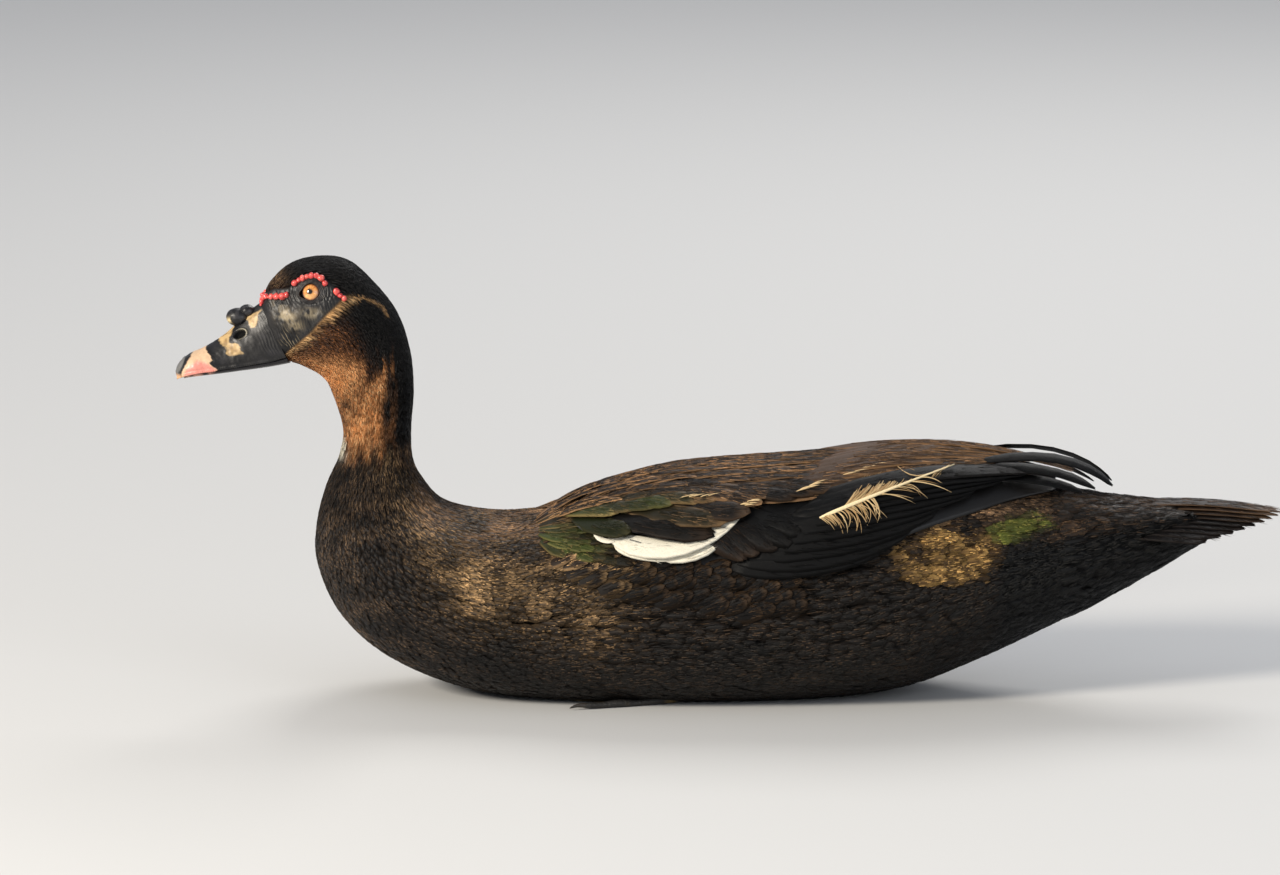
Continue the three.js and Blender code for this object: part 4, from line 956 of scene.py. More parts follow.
def strands(f, count, start=(0.35, 0.85), reach=(0.3, 0.5), fan=1.25, wide=0.8, lift=0.3, camber=0.02,
            thick=0.1, ridge=0.06, seed=0):
    # loose barbs: thin four-faced blades that lie along the vane and run past its tip and edges; most
    # are dark, and a few are as light as the edge
    draw = np.random.default_rng(seed)
    n = len(f.spine)
    t0 = draw.uniform(*start, (n, count))
    u0 = draw.uniform(-0.85, 0.85, (n, count)) * (1.15 - 0.45 * t0)
    t1 = t0 + draw.uniform(*reach, (n, count))
    u1 = u0 * fan + draw.normal(0, 0.05, (n, count))
    w = wide * draw.uniform(0.6, 1.25, (n, count)) / f.half[:, None] / 2
    t = np.stack([t0, t0, t0, t1], -1)
    u = np.stack([u0 - w, u0 + w, u0, u1], -1)
    high = lift * draw.uniform(0.4, 1.2, (n, count)) + thick / 2 + ridge * (1 - np.minimum(1, np.abs(u0)))
    height = np.stack([high, high, high - 0.16, high + 0.02], -1)
    points = f.surface(t, u, height, camber).reshape(-1, 3)
    one = np.array([(0, 1, 3), (1, 2, 3), (2, 0, 3), (0, 2, 1)])
    faces = (one[None] + 4 * np.arange(n * count)[:, None, None]).reshape(-1, 3)
    e = f.share[:, None] * ramp(0.45, 1.0, draw.uniform(0, 1, (n, count)))
    colour = mixed(f.base[:, None], f.edge[:, None], e)
    tint = np.repeat(colour[:, :, None], 4, 2)
    tint[:, :, 3] = mixed(colour, f.edge[:, None], e * 0.6)
    vane = np.stack([u * f.half[:, None, None], t * f.length[:, None, None]], -1)
    bake = f.patch[:, None, None] + patchSize * np.stack([u * 0.5, t * 0.7 - 0.5], -1)
    maps = [("vane", vane.reshape(-1, 2)), ("OFBake", bake.reshape(-1, 2))]
    return points, [faces], tint.reshape(-1, 3), maps


def tract(kFrom, kTo, lines, spacing, seed, wander=0.22):
    # roots in slanting rows: equal steps along lines that run down the body, every other line
    # shifted by half a step, each root then moved a little at random
    draw = np.random.default_rng(seed)
    k = np.linspace(kFrom, kTo, 200)
    ks, angles = [], []
    for line in range(lines):
        angle = (line + 0.5) / lines * 2 * pi
        run = np.linalg.norm(np.diff(bodyForm(k, np.full(200, angle)), axis=0), axis=-1)
        run = np.concatenate([[0], np.cumsum(run)])
        at = np.arange(spacing * (0.25 + 0.5 * (line % 2)), run[-1], spacing)
        at = at + draw.uniform(-wander, wander, len(at)) * spacing
        ks.append(np.interp(at, run, k))
        angles.append(angle + draw.uniform(-wander, wander, len(at)) * 2 * pi / lines)
    return np.concatenate(ks), np.concatenate(angles)


def bodyPlumes(k, angle, length, half, heights, turn, span, seed):
    # each spine goes from its root down the body, turned towards the belly by an angle, sunk to
    # the skin at the root and lifted by the heights half way and at the tip
    draw = np.random.default_rng(seed)
    e = 0.02
    at = bodyForm(k, angle)
    alongK = np.linalg.norm(bodyForm(k + e, angle) - at, axis=-1) / e
    alongA = np.linalg.norm(bodyForm(k, angle + e) - at, axis=-1) / e
    turn = turn + draw.normal(0, 0.1, len(k))
    side = np.sign(np.sin(angle))
    dk = length * np.cos(turn) / np.maximum(alongK, 0.5)
    da = length * np.sin(turn) * side / np.maximum(alongA, 2)
    far = np.linalg.norm(bodyForm(k + dk, angle + da) - at, axis=-1)
    scale = np.clip(length / np.maximum(far, 0.1), 0.5, 2)
    dk, da = dk * scale, da * scale
    low, mid, top = heights
    jitter = draw.uniform(0.75, 1.25, len(k))
    p0, n0 = bodyAt(k, angle, low)
    p1, _ = bodyAt(k + dk / 2, angle + da / 2, mid * jitter)
    p2, n2 = bodyAt(k + dk, angle + da, top * jitter)
    base, edge, share = markings(p1, k + dk / 2, angle + da / 2)
    patch = np.stack([(k - span[0]) / (span[1] - span[0]), angle / (2 * pi) % 1], -1) * 0.98 + 0.01
    return Plumes(np.stack([p0, p1, p2], 1), np.stack([n0, n2], 1), half, base, edge, share, patch)


def coatPiece(name, parts, finish, slot, replaced=()):
    points, faces, tint, maps = joined(parts)
    meshPiece(name, points, faces, finishes[finish], slot, replaced, tint, maps)


def wingCovered(k, angle):
    # roots that the folded wings hide well enough to leave out
    at = bodyForm(k, angle)
    down = np.abs((angle + pi) % (2 * pi) - pi)
    low = np.interp(at[:, 0], wingRows[:, 0], wingRows[:, 1])
    return (at[:, 0] > -88) & (at[:, 0] < 150) & (down < low - 0.16) & (k > 13)


# The folded wings: over the side of the body, by the distance along it and the share up the wing
wingRows = np.array([  # x, angle of the lower and of the upper edge, thickness at each
    [-119, 0.52, 0.3, 0.5, 0.5], [-113, 0.74, 0.12, 0.5, 1.6], [-103, 0.9, -0.05, 0.5, 1.8],
    [-82, 1.04, -0.05, 1, 5.2], [-46, 1.16, -0.05, 1.6, 6.2], [-10, 1.24, -0.05, 2, 5.4],
    [30, 1.29, -0.05, 2.2, 4.4], [65, 1.24, -0.05, 2.2, 5.2], [95, 1.1, -0.05, 2.4, 7],
    [125, 0.95, -0.05, 2.6, 9.8], [150, 0.8, -0.05, 3, 11.8], [170, 0.62, -0.05, 3.4, 11.8],
    [186, 0.5, -0.02, 5.5, 10.3], [200, 0.4, 0.05, 7, 8.8], [216, 0.3, 0.12, 7.5, 7.5],
])
wingDense = between(wingRows, np.linspace(0, len(wingRows) - 1, 600))


def wingAt(x, b, height=0.0):
    # point over the left side: the angle goes from the lower edge to the upper one with b, and
    # the wing's own thickness with the sine of b
    x, b = np.broadcast_arrays(np.asarray(x, float), np.asarray(b, float))
    low, high, edge, ridge = (np.interp(x, wingDense[:, 0], wingDense[:, n]) for n in range(1, 5))
    angle = low + (high - low) * b
    k = sectionAt(x, angle)
    thick = edge + (ridge - edge) * np.sin(pi / 2 * np.clip(b, 0, 1))
    return bodyAt(k, angle, thick + height)


# bronze and its edge are partly painted light for sun on the coverts; black is near black, partly painted
# shade over black flight feathers
wingTones = {name: tone(code) for name, code in {
    "bronze": "231911", "bronzeEdge": "bb9065", "dark": "0f0c0a", "darkEdge": "5e4836", "black": "030303",
    "blackEdge": "120f0c", "green": "323b19", "greenEdge": "74733f", "white": "dcd6c4", "grey": "a39f93",
    "quill": "d8bd8e", "barb": "a07f54",
}.items()}


def wingMarks(x, b):
    # painted light: lit bronze on the upper coverts; painted sheen: green gloss low in front; nearly black
    # low behind, partly black feathers and partly painted shade
    place = np.stack([x, b * 90, 0 * x], -1)
    blotch, fine = noise(place, 15, 31), noise(place, 5, 32)
    ones = np.ones(x.shape + (1,))
    base, edge = ones * wingTones["dark"], ones * wingTones["darkEdge"]
    share = np.full(x.shape, 0.5)
    bronze = ramp(0.3, 0.62, b + 0.3 * (blotch - 0.5)) * ramp(0.2, 0.55, fine + 0.25)
    bronze = bronze * (1 - 0.65 * spot(x, b, 18, 0.62, 30, 0.13))
    bronze = np.maximum(bronze, ramp(-70, -105, x) * 0.8)
    base, edge = mixed(base, wingTones["bronze"], bronze), mixed(edge, wingTones["bronzeEdge"], bronze)
    share = share * (1 - bronze) + 0.85 * bronze
    # painted shade: the low rear of the wing goes near black with dark edges, for the shade there over the
    # black secondaries
    black = ramp(-10, 25, x) * ramp(0.62, 0.45, b)
    base, edge = mixed(base, wingTones["black"], black), mixed(edge, wingTones["blackEdge"], black)
    share = share * (1 - black) + 0.3 * black
    green = spot(x, b, -100, 0.12, 20, 0.3) + spot(x, b, -76, 0.38, 14, 0.12) + spot(x, b, -48, 0.48, 16, 0.1)
    green = np.clip(green * 1.2 * (0.3 + fine), 0, 0.85)
    base, edge = mixed(base, wingTones["green"], green), mixed(edge, wingTones["greenEdge"], green)
    shade = (0.1 + 0.9 * fine + 0.8 * blotch)[..., None]
    lit = (1 + 0.6 * ramp(-30, -75, x) * ramp(0.45, 0.7, b))[..., None]
    return base * shade, edge * shade * lit, np.clip(share * (0.5 + blotch), 0, 1)


def wingPlumes(root, tip, heights, half, bow=0.0, colours=None):
    # spines from root to tip over the wing, each place as (x, b), bowed by a share of the wing
    root, tip = np.asarray(root, float), np.asarray(tip, float)
    middle = (root + tip) / 2 + [0, bow]
    p0, n0 = wingAt(root[:, 0], root[:, 1], heights[0])
    p1, _ = wingAt(middle[:, 0], middle[:, 1], heights[1])
    p2, n2 = wingAt(tip[:, 0], tip[:, 1], heights[2])
    base, edge, share = wingMarks(middle[:, 0], middle[:, 1]) if colours is None else colours
    patch = np.stack([(root[:, 0] + 125) / 340, np.clip(root[:, 1], -0.1, 1.1) / 1.25 + 0.1], -1)
    patch = patch * 0.98 + 0.01
    return Plumes(np.stack([p0, p1, p2], 1), np.stack([n0, n2], 1), half, base, edge, share, patch)


def row(count, first, last, wander, seed):
    # places in a line from first to last, each moved a little at random
    draw = np.random.default_rng(seed)
    share = np.linspace(0, 1, count)[:, None]
    first, last = np.asarray(first, float), np.asarray(last, float)
    return first + (last - first) * share + draw.uniform(-1, 1, (count, 2)) * wander


longShape = ([0, 0.08, 0.2, 0.35, 0.5, 0.65, 0.78, 0.88, 0.95, 1.0],
             [0.3, 0.62, 0.85, 0.95, 1.0, 1.0, 0.94, 0.8, 0.58, 0.22])
lanceShape = ([0, 0.1, 0.25, 0.45, 0.65, 0.8, 0.92, 1.0], [0.35, 0.75, 1.0, 0.95, 0.72, 0.48, 0.24, 0.06])
roundShape = ([0, 0.15, 0.35, 0.6, 0.8, 0.93, 1.0], [0.45, 0.8, 1.0, 1.0, 0.88, 0.6, 0.25])


wing = {  # places on the wing are (x, share up the wing); heights at root, middle and tip are in mm
    "whites": [  # under the rear, in front, the long crescent and the curl at its front end
        {"places": [(-46, 0.1), (-19, 0.13), (3, 0.33)], "heights": (1.2, 2.2, 1.8), "half": 5.6,
         "grey": 0.7, "barbs": {"count": 40, "wide": 0.4}},
        {"places": [(-68, 0.17), (-54, 0.1), (-34, 0.06)], "heights": (1.4, 2.6, 2.2), "half": 6.0,
         "grey": 0.2, "barbs": {"count": 30, "wide": 0.4}},
        {"places": [(-71, 0.23), (-34, 0.15), (6, 0.36)], "heights": (2.0, 3.0, 2.4), "half": 9.4,
         "grey": 0.1, "barbs": {"count": 70, "start": (0.1, 0.85), "wide": 0.35, "lift": 0.05, "fan": 1.1}},
        {"places": [(-68, 0.17), (-76, 0.175), (-80.5, 0.25)], "heights": (2.2, 3.4, 3.6), "half": 2.0,
         "grey": 0.0, "barbs": None},
    ],
    "primaries": [  # x, y and z of the root, middle and tip of those that reach free over the tail
        [(148, -22, 143), (197, -15.5, 144.5), (231.5, -9, 127)],
        [(146, -27, 140), (188, -20, 138.5), (221, -13, 125.6)],
        [(144, -33, 136), (183, -25, 133.5), (213, -18, 124.2)],
    ],
    # tiers: first and last root and tip, how far they wander and a seed, and how far they stack up
    "secondaries": {
        "count": 11, "half": 8.2, "bow": 0.02, "heights": (-0.5, 1.2, 1.0), "stack": 3.5,
        "roots": ((0, 0.06), (52, 0.46), (1.5, 0.01), 51), "tips": ((98, 0.0), (186, 0.42), (3, 0.012), 52)},
    "tertials": {
        "count": 8, "half": 9.0, "bow": 0.02, "heights": (0.4, 2.4, 2.0), "stack": 2.6,
        "roots": ((18, 0.5), (60, 0.9), (2, 0.01), 53), "tips": ((140, 0.5), (202, 0.95), (5, 0.015), 54)},
    "greater": {
        "count": 10, "half": 8.4, "bow": -0.02, "heights": (0.2, 2.4, 2.4), "stack": 0,
        "roots": ((-24, 0.42), (46, 0.52), (1.5, 0.01), 71), "tips": ((8, 0.12), (98, 0.38), (2, 0.02), 72)},
    "middle": {
        "count": 12, "half": 7.4, "bow": -0.02, "heights": (0.8, 3.4, 3.2), "stack": 0,
        "roots": ((-98, 0.6), (22, 0.68), (2, 0.02), 73), "tips": ((-66, 0.44), (66, 0.52), (2, 0.03), 74)},
    "small": {"rows": 14, "step": 6.5, "length": 20, "half": 3.9, "heights": (-0.8, 1.0, 1.1)},
    "lobes": {"roots": [(-92, 0.5), (-80, 0.5), (-64, 0.56), (-36, 0.6)], "half": (8.5, 9.5, 9.5, 9.0),
              "tips": [(-58, 0.25), (-10, 0.245), (0, 0.34), (12, 0.4)], "heights": (1.0, 4.3, 4.1)},
    "shoulder": {"rows": [(0.62, 3.0), (0.7, 3.0), (0.78, 3.2), (0.86, 3.4), (0.93, 3.5), (0.985, 3.6)],
                 "count": 14, "half": 6.2, "length": (32, 72)},
    "flank": {"count": 22, "below": (0.3, 0.2, 0.12, 0.04), "length": (20, 27), "half": (4.4, 5.6)},
}


def tier(name):
    # the feathers of a named tier, in a line, each lifted a little above the one before it
    t = wing[name]
    roots, tips = row(t["count"], *t["roots"]), row(t["count"], *t["tips"])
    f = wingPlumes(roots, tips, t["heights"], t["half"], t["bow"])
    f.spine += f.normals[:, :1] * np.linspace(0, t["stack"], t["count"])[:, None, None]
    return f


def makeWings():
    # core under the feathers, then each tier from below to above
    x = np.linspace(-117, 196, 120)[:, None]
    b = np.concatenate([np.linspace(1, 0, 26), np.linspace(0, 1, 12)])[None]
    x, b = np.broadcast_arrays(x, b)
    outer = np.arange(38)[None] < 26
    under = np.interp(x, [-117, 150, 170, 186, 200], [-4, -3, 0, 3, 6])
    low, high, edge, ridge = (np.interp(x, wingDense[:, 0], wingDense[:, n]) for n in range(1, 5))
    thick = edge + (ridge - edge) * np.sin(pi / 2 * b)
    angle = low + (high - low) * b
    lift = np.where(outer, np.maximum(thick - 1.6, under + 0.4), under)
    core, _ = bodyAt(sectionAt(x, angle), angle, lift)
    core[..., 1] = np.minimum(core[..., 1], -0.2)
    points, faces = closedLoft(core)
    tint = np.ones((len(points), 1)) * wingTones["dark"] * 0.7

    groups = {"white": whitePatch(), "flight": flightFeathers(), "coverts": covertFeathers()}
    flank = {"across": 5, "thick": 0.25, "ridge": 0.2, "shape": roundShape}
    barbs = {"count": 26, "wide": 0.45, "lift": 0.12, "reach": (0.15, 0.35)}
    groups["flank"] = [(flankFeathers(), flank, barbs)]
    for side in ("left", "right"):
        if side == "right":
            points, faces = mirroredParts(points, faces)
            for name, group in groups.items():
                groups[name] = [(f.mirrored(), *rest) for f, *rest in group]
        core = (f"wing_core_{side}", points, faces, finishes["skin"], "wing_feathers")
        meshPiece(*core, (f"wing_{side}",), tint)
        for name, group in groups.items():
            parts = []
            for f, vane, strand in group:
                parts.append(vanes(f, **vane))
                if strand:
                    build = {key: vane[key] for key in ("thick", "ridge")}
                    parts.append(strands(f, **strand, **build))
            coatPiece(f"wing_{name}_{side}", parts, "wing", "wing_feathers")


def whitePatch():
    # the white coverts: each a boat-shaped vane on a bent spine
    boat = ([0, 0.04, 0.1, 0.2, 0.32, 0.45, 0.58, 0.7, 0.8, 0.88, 0.95, 1.0],
            [0.25, 0.45, 0.68, 0.92, 1.0, 1.0, 0.94, 0.8, 0.64, 0.46, 0.26, 0.08])
    style = {"shape": boat, "across": 9, "thick": 0.4, "ridge": 0.3, "ragged": 0.02, "camber": 0.01}
    group = []
    for seed, w in enumerate(wing["whites"], 1):
        root, middle, tip = (np.array([place]) for place in w["places"])
        colours = (wingTones["white"][None], wingTones["grey"][None], w["grey"])
        f = wingPlumes(root, tip, w["heights"], np.array([w["half"]]), colours=colours)
        f.spine[:, 1] = wingAt(middle[:, 0], middle[:, 1], w["heights"][1])[0]
        f.length = np.linalg.norm(np.diff(f.spine, axis=1), axis=2).sum(1)
        barbs = {"reach": (0.05, 0.1), "seed": seed, **w["barbs"]} if w["barbs"] else None
        group.append((f, {**style, "seed": seed}, barbs))
    return group


def flightFeathers():
    # primaries that reach free over the tail, black secondaries, and long inner secondaries
    free = np.array(wing["primaries"], float)
    facing = np.tile(unit(np.array([0.15, -0.5, 1.0])), (3, 2, 1))
    black = (np.tile(wingTones["black"], (3, 1)), np.tile(wingTones["blackEdge"], (3, 1)), 0.4)
    patch = np.stack([np.full(3, 0.95), [0.8, 0.85, 0.9]], -1)
    primaries = Plumes(free, facing, np.array([5.0, 4.8, 4.8]), *black, patch)
    secondaries, tertials = tier("secondaries"), tier("tertials")
    # painted light: along the row the tertials go over to a lit brown with bronze edges, for the sun on their
    # tops, on feathers that are brownish themselves
    tertials.base = mixed(tertials.base, tone("46311f"), np.linspace(0.2, 1, 8))
    tertials.edge = np.tile(wingTones["bronzeEdge"], (8, 1))
    tertials.share = np.full(8, 0.8)
    style = {"shape": longShape, "across": 7, "thick": 0.5, "ridge": 0.45, "ragged": 0.05, "camber": 0.008}
    loose = {"start": (0.2, 0.92), "fan": 1.5, "lift": 0.1, "camber": 0.008}
    fine = {**loose, "reach": (0.05, 0.1), "wide": 0.6, "count": 60, "seed": 5}
    long = {**loose, "reach": (0.06, 0.16), "wide": 0.5, "count": 190, "seed": 6}
    return [(primaries, {**style, "seed": 4, "thick": 0.8}, None),
            (secondaries, {**style, "seed": 5}, fine), (tertials, {**style, "seed": 6}, long)]


def covertFeathers():
    # small coverts in rows over the front, larger ones over the roots of the flight feathers, dark
    # lobes over the white patch, and pointed shoulder feathers along the top
    style = {"across": 5, "thick": 0.25, "ridge": 0.2, "ragged": 0.1, "camber": 0.012}
    loose = {"wide": 0.45, "lift": 0.12, "fan": 1.3}
    tiers = []

    def add(f, shape, seed, count, across=5, **barbs):
        vane = {**style, "shape": shape, "seed": seed, "across": across}
        tiers.append((f, vane, {**loose, "count": count, "seed": seed, **barbs}))

    small = wing["small"]
    for n in range(small["rows"]):
        b = 0.04 + 0.9 * n / (small["rows"] - 1)
        last = -12 if b > 0.34 else -78
        count = int((last + 120) / small["step"])
        roots = row(count, (-116 + 3 * (n % 2), b), (last, b + 0.03), (1.6, 0.02), 60 + n)
        tips = roots + [small["length"], 0.12 * b - 0.06]
        add(wingPlumes(roots, tips, small["heights"], small["half"]), bodyShape, 10 + n, 24)
    add(tier("greater"), longShape, 30, 60, reach=(0.1, 0.22))
    lobes = wing["lobes"]
    f = wingPlumes(lobes["roots"], lobes["tips"], lobes["heights"], np.array(lobes["half"]), -0.08)
    add(f, roundShape, 31, 110, 9, reach=(0.1, 0.25))
    add(tier("middle"), roundShape, 32, 60, reach=(0.12, 0.28))
    top = wing["shoulder"]
    for n, (b, lift) in enumerate(top["rows"]):
        roots = row(top["count"], (-106 + 5 * (n % 3), b), (84, b), (4, 0.015), 80 + n)
        reach = np.linspace(*top["length"], top["count"])
        tips = roots + np.stack([reach, np.full(top["count"], -0.04)], -1)
        f = wingPlumes(roots, tips, (0.2, lift, lift * 0.8), top["half"], 0.01)
        add(f, lanceShape, 33 + n, 70, start=(0.1, 0.85), reach=(0.08, 0.2))
    return tiers


def flankFeathers():
    # feathers of the flank that lie up over the wing's lower front edge
    draw = np.random.default_rng(44)
    w = wing["flank"]
    n = w["count"]
    total = n * len(w["below"])
    x = np.concatenate([np.linspace(-118, 22, n) + draw.uniform(-2, 2, n) for _ in w["below"]])
    below = np.repeat(w["below"], n) + draw.uniform(-0.03, 0.03, total)
    angle = np.interp(x, wingDense[:, 0], wingDense[:, 1]) + below
    k = sectionAt(x, angle)
    length = draw.uniform(*w["length"], total)
    half = draw.uniform(*w["half"], total)
    return bodyPlumes(k, angle, length, half, (-1.5, 1.2, 2.0), -0.3, (14, 22), 45)


wornFeather = {
    "root": (54, 118.5), "middle": (92, 132.2), "tip": (135.5, 144.5), "half": 1.2, "lift": 3.4,
    "rise": (0.8, 1.6, 3.4), "top": 139.5,
    "groups": [  # count, first and last place on the quill, angles to it, lengths, bend
        (56, 0.18, 0.55, (0.15, 0.55), (18, 32), 0.06),
        (30, 0.0, 0.3, (-0.45, -0.85), (6, 12), -0.25),
        (20, 0.1, 0.42, (-0.8, -1.4), (10, 19), -0.3),
        (14, 0.4, 0.92, (-0.15, -0.5), (14, 26), -0.25),
        (14, 0.5, 0.98, (0.08, 0.25), (4, 10), 0.1),
    ],
}


def overWing():
    # depth of the left wing's surface at a place in the side view: a curved sheet fitted to it
    x, b = np.meshgrid(np.linspace(30, 150, 30), np.linspace(0.15, 0.9, 20))
    at = wingAt(x.ravel(), b.ravel(), 2.5)[0]

    def terms(x, z):
        return np.stack([1 + 0 * x, x, z, x * x, x * z, z * z, z ** 3], -1)

    fit = np.linalg.lstsq(terms(at[:, 0] / 100, at[:, 2] / 100), at[:, 1], rcond=None)[0]
    return lambda x, z: terms(x / 100, z / 100) @ fit


def makeWornFeather():
    # a loose worn feather on the left wing: a pale quill, with barbs fanned above it, short broken
    # ones under its root and a few long ones hanging from its outer half; drawn in the side view
    # and laid over the wing
    draw = np.random.default_rng(46)
    w = wornFeather
    depth = overWing()

    def laid(x, z, lift):
        return np.stack([x, depth(x, z) - lift, z], -1)

    a, b, c = (np.array(w[name], float) for name in ("root", "middle", "tip"))
    line = np.stack([a, b, c])
    spine = laid(line[:, 0], line[:, 1], np.array(w["rise"]) * w["lift"])[None]
    facing = np.tile(unit(np.array([0.0, -0.8, 0.6])), (1, 2, 1))
    quill = np.array([tone("ead6ab")])
    shaft = Plumes(spine, facing, w["half"], quill, quill, 0.0, np.array([[0.98, 0.02]]))
    spines, widths = [], []
    for count, first, last, turn, length, bend in w["groups"]:
        s = draw.uniform(first, last, count)[:, None]
        at = a * (1 - s) * (1 - 2 * s) + 4 * b * s * (1 - s) + c * s * (2 * s - 1)
        angle = np.arctan2(*(c - a)[::-1]) + draw.uniform(min(turn), max(turn), count)
        far = draw.uniform(*length, count)
        far = np.minimum(far, (w["top"] - at[:, 1]) / np.maximum(np.sin(angle), 0.05))
        bent = angle + bend * draw.uniform(0.5, 3, count)
        middle = at + np.stack([np.cos(angle), np.sin(angle)], -1) * far[:, None] * 0.5
        end = middle + np.stack([np.cos(bent), np.sin(bent)], -1) * far[:, None] * 0.5
        lifts = (draw.uniform(0.5, 1.3, (3, count)) + 1.6 * np.maximum(0, s[:, 0] - 0.2)) * w["lift"]
        placed = [laid(p[:, 0], p[:, 1], lift) for p, lift in zip((at, middle, end), lifts)]
        spines.append(np.stack(placed, 1))
        widths.append(draw.uniform(0.3, 0.5, count))
    spines, widths = np.concatenate(spines), np.concatenate(widths)
    n = len(spines)
    shade = draw.uniform(0, 1, n)[:, None]
    base = wingTones["barb"] * (1 - shade) + wingTones["quill"] * shade
    patch = np.stack([np.full(n, 0.96), draw.uniform(0.05, 0.95, n)], -1)
    barbs = Plumes(spines, np.tile(facing, (n, 1, 1)), widths, base, base * 0.7, 0.5, patch)
    taper = (np.linspace(0, 1, 8), [1.0, 1.0, 0.92, 0.82, 0.7, 0.55, 0.35, 0.1])
    along = np.linspace(0, 1, 16)
    quillShape = (along, np.interp(along, [0, 0.08, 0.3, 1], [0.5, 1.0, 1.0, 0.3]))
    parts = [vanes(shaft, quillShape, 7, 1.9, 0.0, 0.0, 0.0), vanes(barbs, taper, 3, 0.4, 0.1, 0.0, 0.05)]
    coatPiece("worn_feather", parts, "wing", "wing_feathers")


def makePaleBarbs():
    # worn pale tips that show between the coverts of the left wing, made lighter as painted highlight where
    # the sun catches them
    draw = np.random.default_rng(47)
    groups = [(9, (40, 0.52), (50, 0.57), (9, 0.01)), (7, (6, 0.44), (13, 0.47), (7, 0.0)),
              (6, (-30, 0.5), (-14, 0.52), (8, 0.02)), (6, (66, 0.62), (84, 0.66), (10, -0.01))]
    parts = []
    for n, (count, first, last, step) in enumerate(groups):
        roots = row(count, first, last, (1.5, 0.012), 48 + n)
        tips = roots + step
        colours = (np.tile(wingTones["quill"], (count, 1)), np.tile(wingTones["barb"], (count, 1)), 0.5)
        f = wingPlumes(roots, tips, (3.6, 4.4, 4.2), draw.uniform(0.35, 0.6, count), colours=colours)
        parts.append(vanes(f, ([0, 0.3, 0.7, 1.0], [0.6, 1.0, 0.8, 0.15]), 3, 0.3, 0.1, 0.0, 0.05))
    coatPiece("pale_barbs", parts, "wing", "wing_feathers")


# The tail: eighteen long feathers set like a roof, with coverts over and under their roots
tail = {
    "pairs": 9, "root": (222, 4, 112.5), "tip": (333.4, 4.6, 109.6), "half": 8.2, "arch": 4.6,
    "rootY": 14, "rootDrop": 14, "tipX": 46, "tipY": 33, "tipDrop": 12,
}


def makeTail():
    # the outer feathers are shorter and lower on each side; each is bowed upwards along its length
    s = np.linspace(0, 1, tail["pairs"])
    root = np.stack([0 * s + tail["root"][0], -tail["root"][1] - tail["rootY"] * s,
                     tail["root"][2] - tail["rootDrop"] * s], -1)
    tip = np.stack([tail["tip"][0] - tail["tipX"] * s ** 1.5, -tail["tip"][1] - tail["tipY"] * s,
                    tail["tip"][2] - tail["tipDrop"] * (0.65 * s + 0.35 * s * s)], -1)
    middle = (root + tip) / 2 + np.stack([0 * s, 0 * s, tail["arch"] * (1 - 0.4 * s)], -1)
    facing = unit(np.stack([0 * s, -0.36 * s - 0.06, 0 * s + 1], -1))
    # painted shade and highlight: the outer, lower feathers on each side go near black with dark edges, for
    # the shade on the sloping sides of the roof, and the middle ones keep pale edges where the light catches
    # their tops
    base = mixed(tone("241a14"), tone("0a0808"), ramp(0, 0.5, s))
    edge = mixed(tone("a37d5a"), tone("2a2019"), ramp(0.05, 0.5, s))
    patch = np.stack([0 * s + 0.9, 0.5 - 0.4 * s], -1)
    left = Plumes(np.stack([root, middle, tip], 1), np.stack([facing, facing], 1), tail["half"], base, edge,
                  0.45, patch)
    right = left.mirrored()
    right.patch = right.patch * [1, -1] + [0, 1]
    style = {"shape": longShape, "across": 9, "thick": 0.6, "ridge": 0.5, "ragged": 0.06, "camber": 0.004}
    loose = {"count": 90, "start": (0.15, 0.95), "reach": (0.05, 0.1), "fan": 1.4, "wide": 0.8, "lift": 0.1,
             "camber": 0.004, "thick": 0.6, "ridge": 0.5}
    parts = []
    for seed, f in enumerate((left, right)):
        parts += [vanes(f, **style, seed=90 + seed), strands(f, **loose, seed=92 + seed)]
    coatPiece("tail_feathers", parts, "tail", "tail_feathers", ("tail",))


# The feet: webbed, flat on the ground under the breast, with the shanks folded back under the body
foot = {
    "root": (-22, -44, 5.0), "toes": [(0.36, 60), (0.02, 76), (-0.34, 70)],
    "wide": (3.4, 2.1), "high": (2.5, 1.7),
    "claw": (11, 1.7), "web": (0.9, 0.75), "hind": ((-23, -40.5, 4.5), (-10, -31.5, 2.3), 2.2),
    "shank": ((-15, -44, 5.9), (40, -42, 12.3), 4.5, 5.3), "scute": 3.2,
}


def tube(path, wide, high, around=22, plates=0.0, scute=3.0):
    # oval rings along a path, with plates over the upper half whose edges step outwards
    ahead = unit(np.gradient(path, axis=0))
    side = unit(np.cross(ahead, [0, 0, 1.0]))
    up = np.cross(side, ahead)
    run = np.concatenate([[0], np.cumsum(np.linalg.norm(np.diff(path, axis=0), axis=1))])
    angle = np.linspace(0, 2 * pi, around, endpoint=False)[None]
    step = (run[:, None] / scute + 0.08 * np.cos(2 * angle)) % 1
    lift = plates * (step ** 0.6) * ramp(-0.2, 0.4, np.sin(angle)) * ramp(0, scute, run)[:, None]
    flat = (np.cos(angle) * (wide[:, None] + lift))[..., None] * side[:, None]
    return path[:, None] + flat + (np.sin(angle) * (high[:, None] + lift))[..., None] * up[:, None]


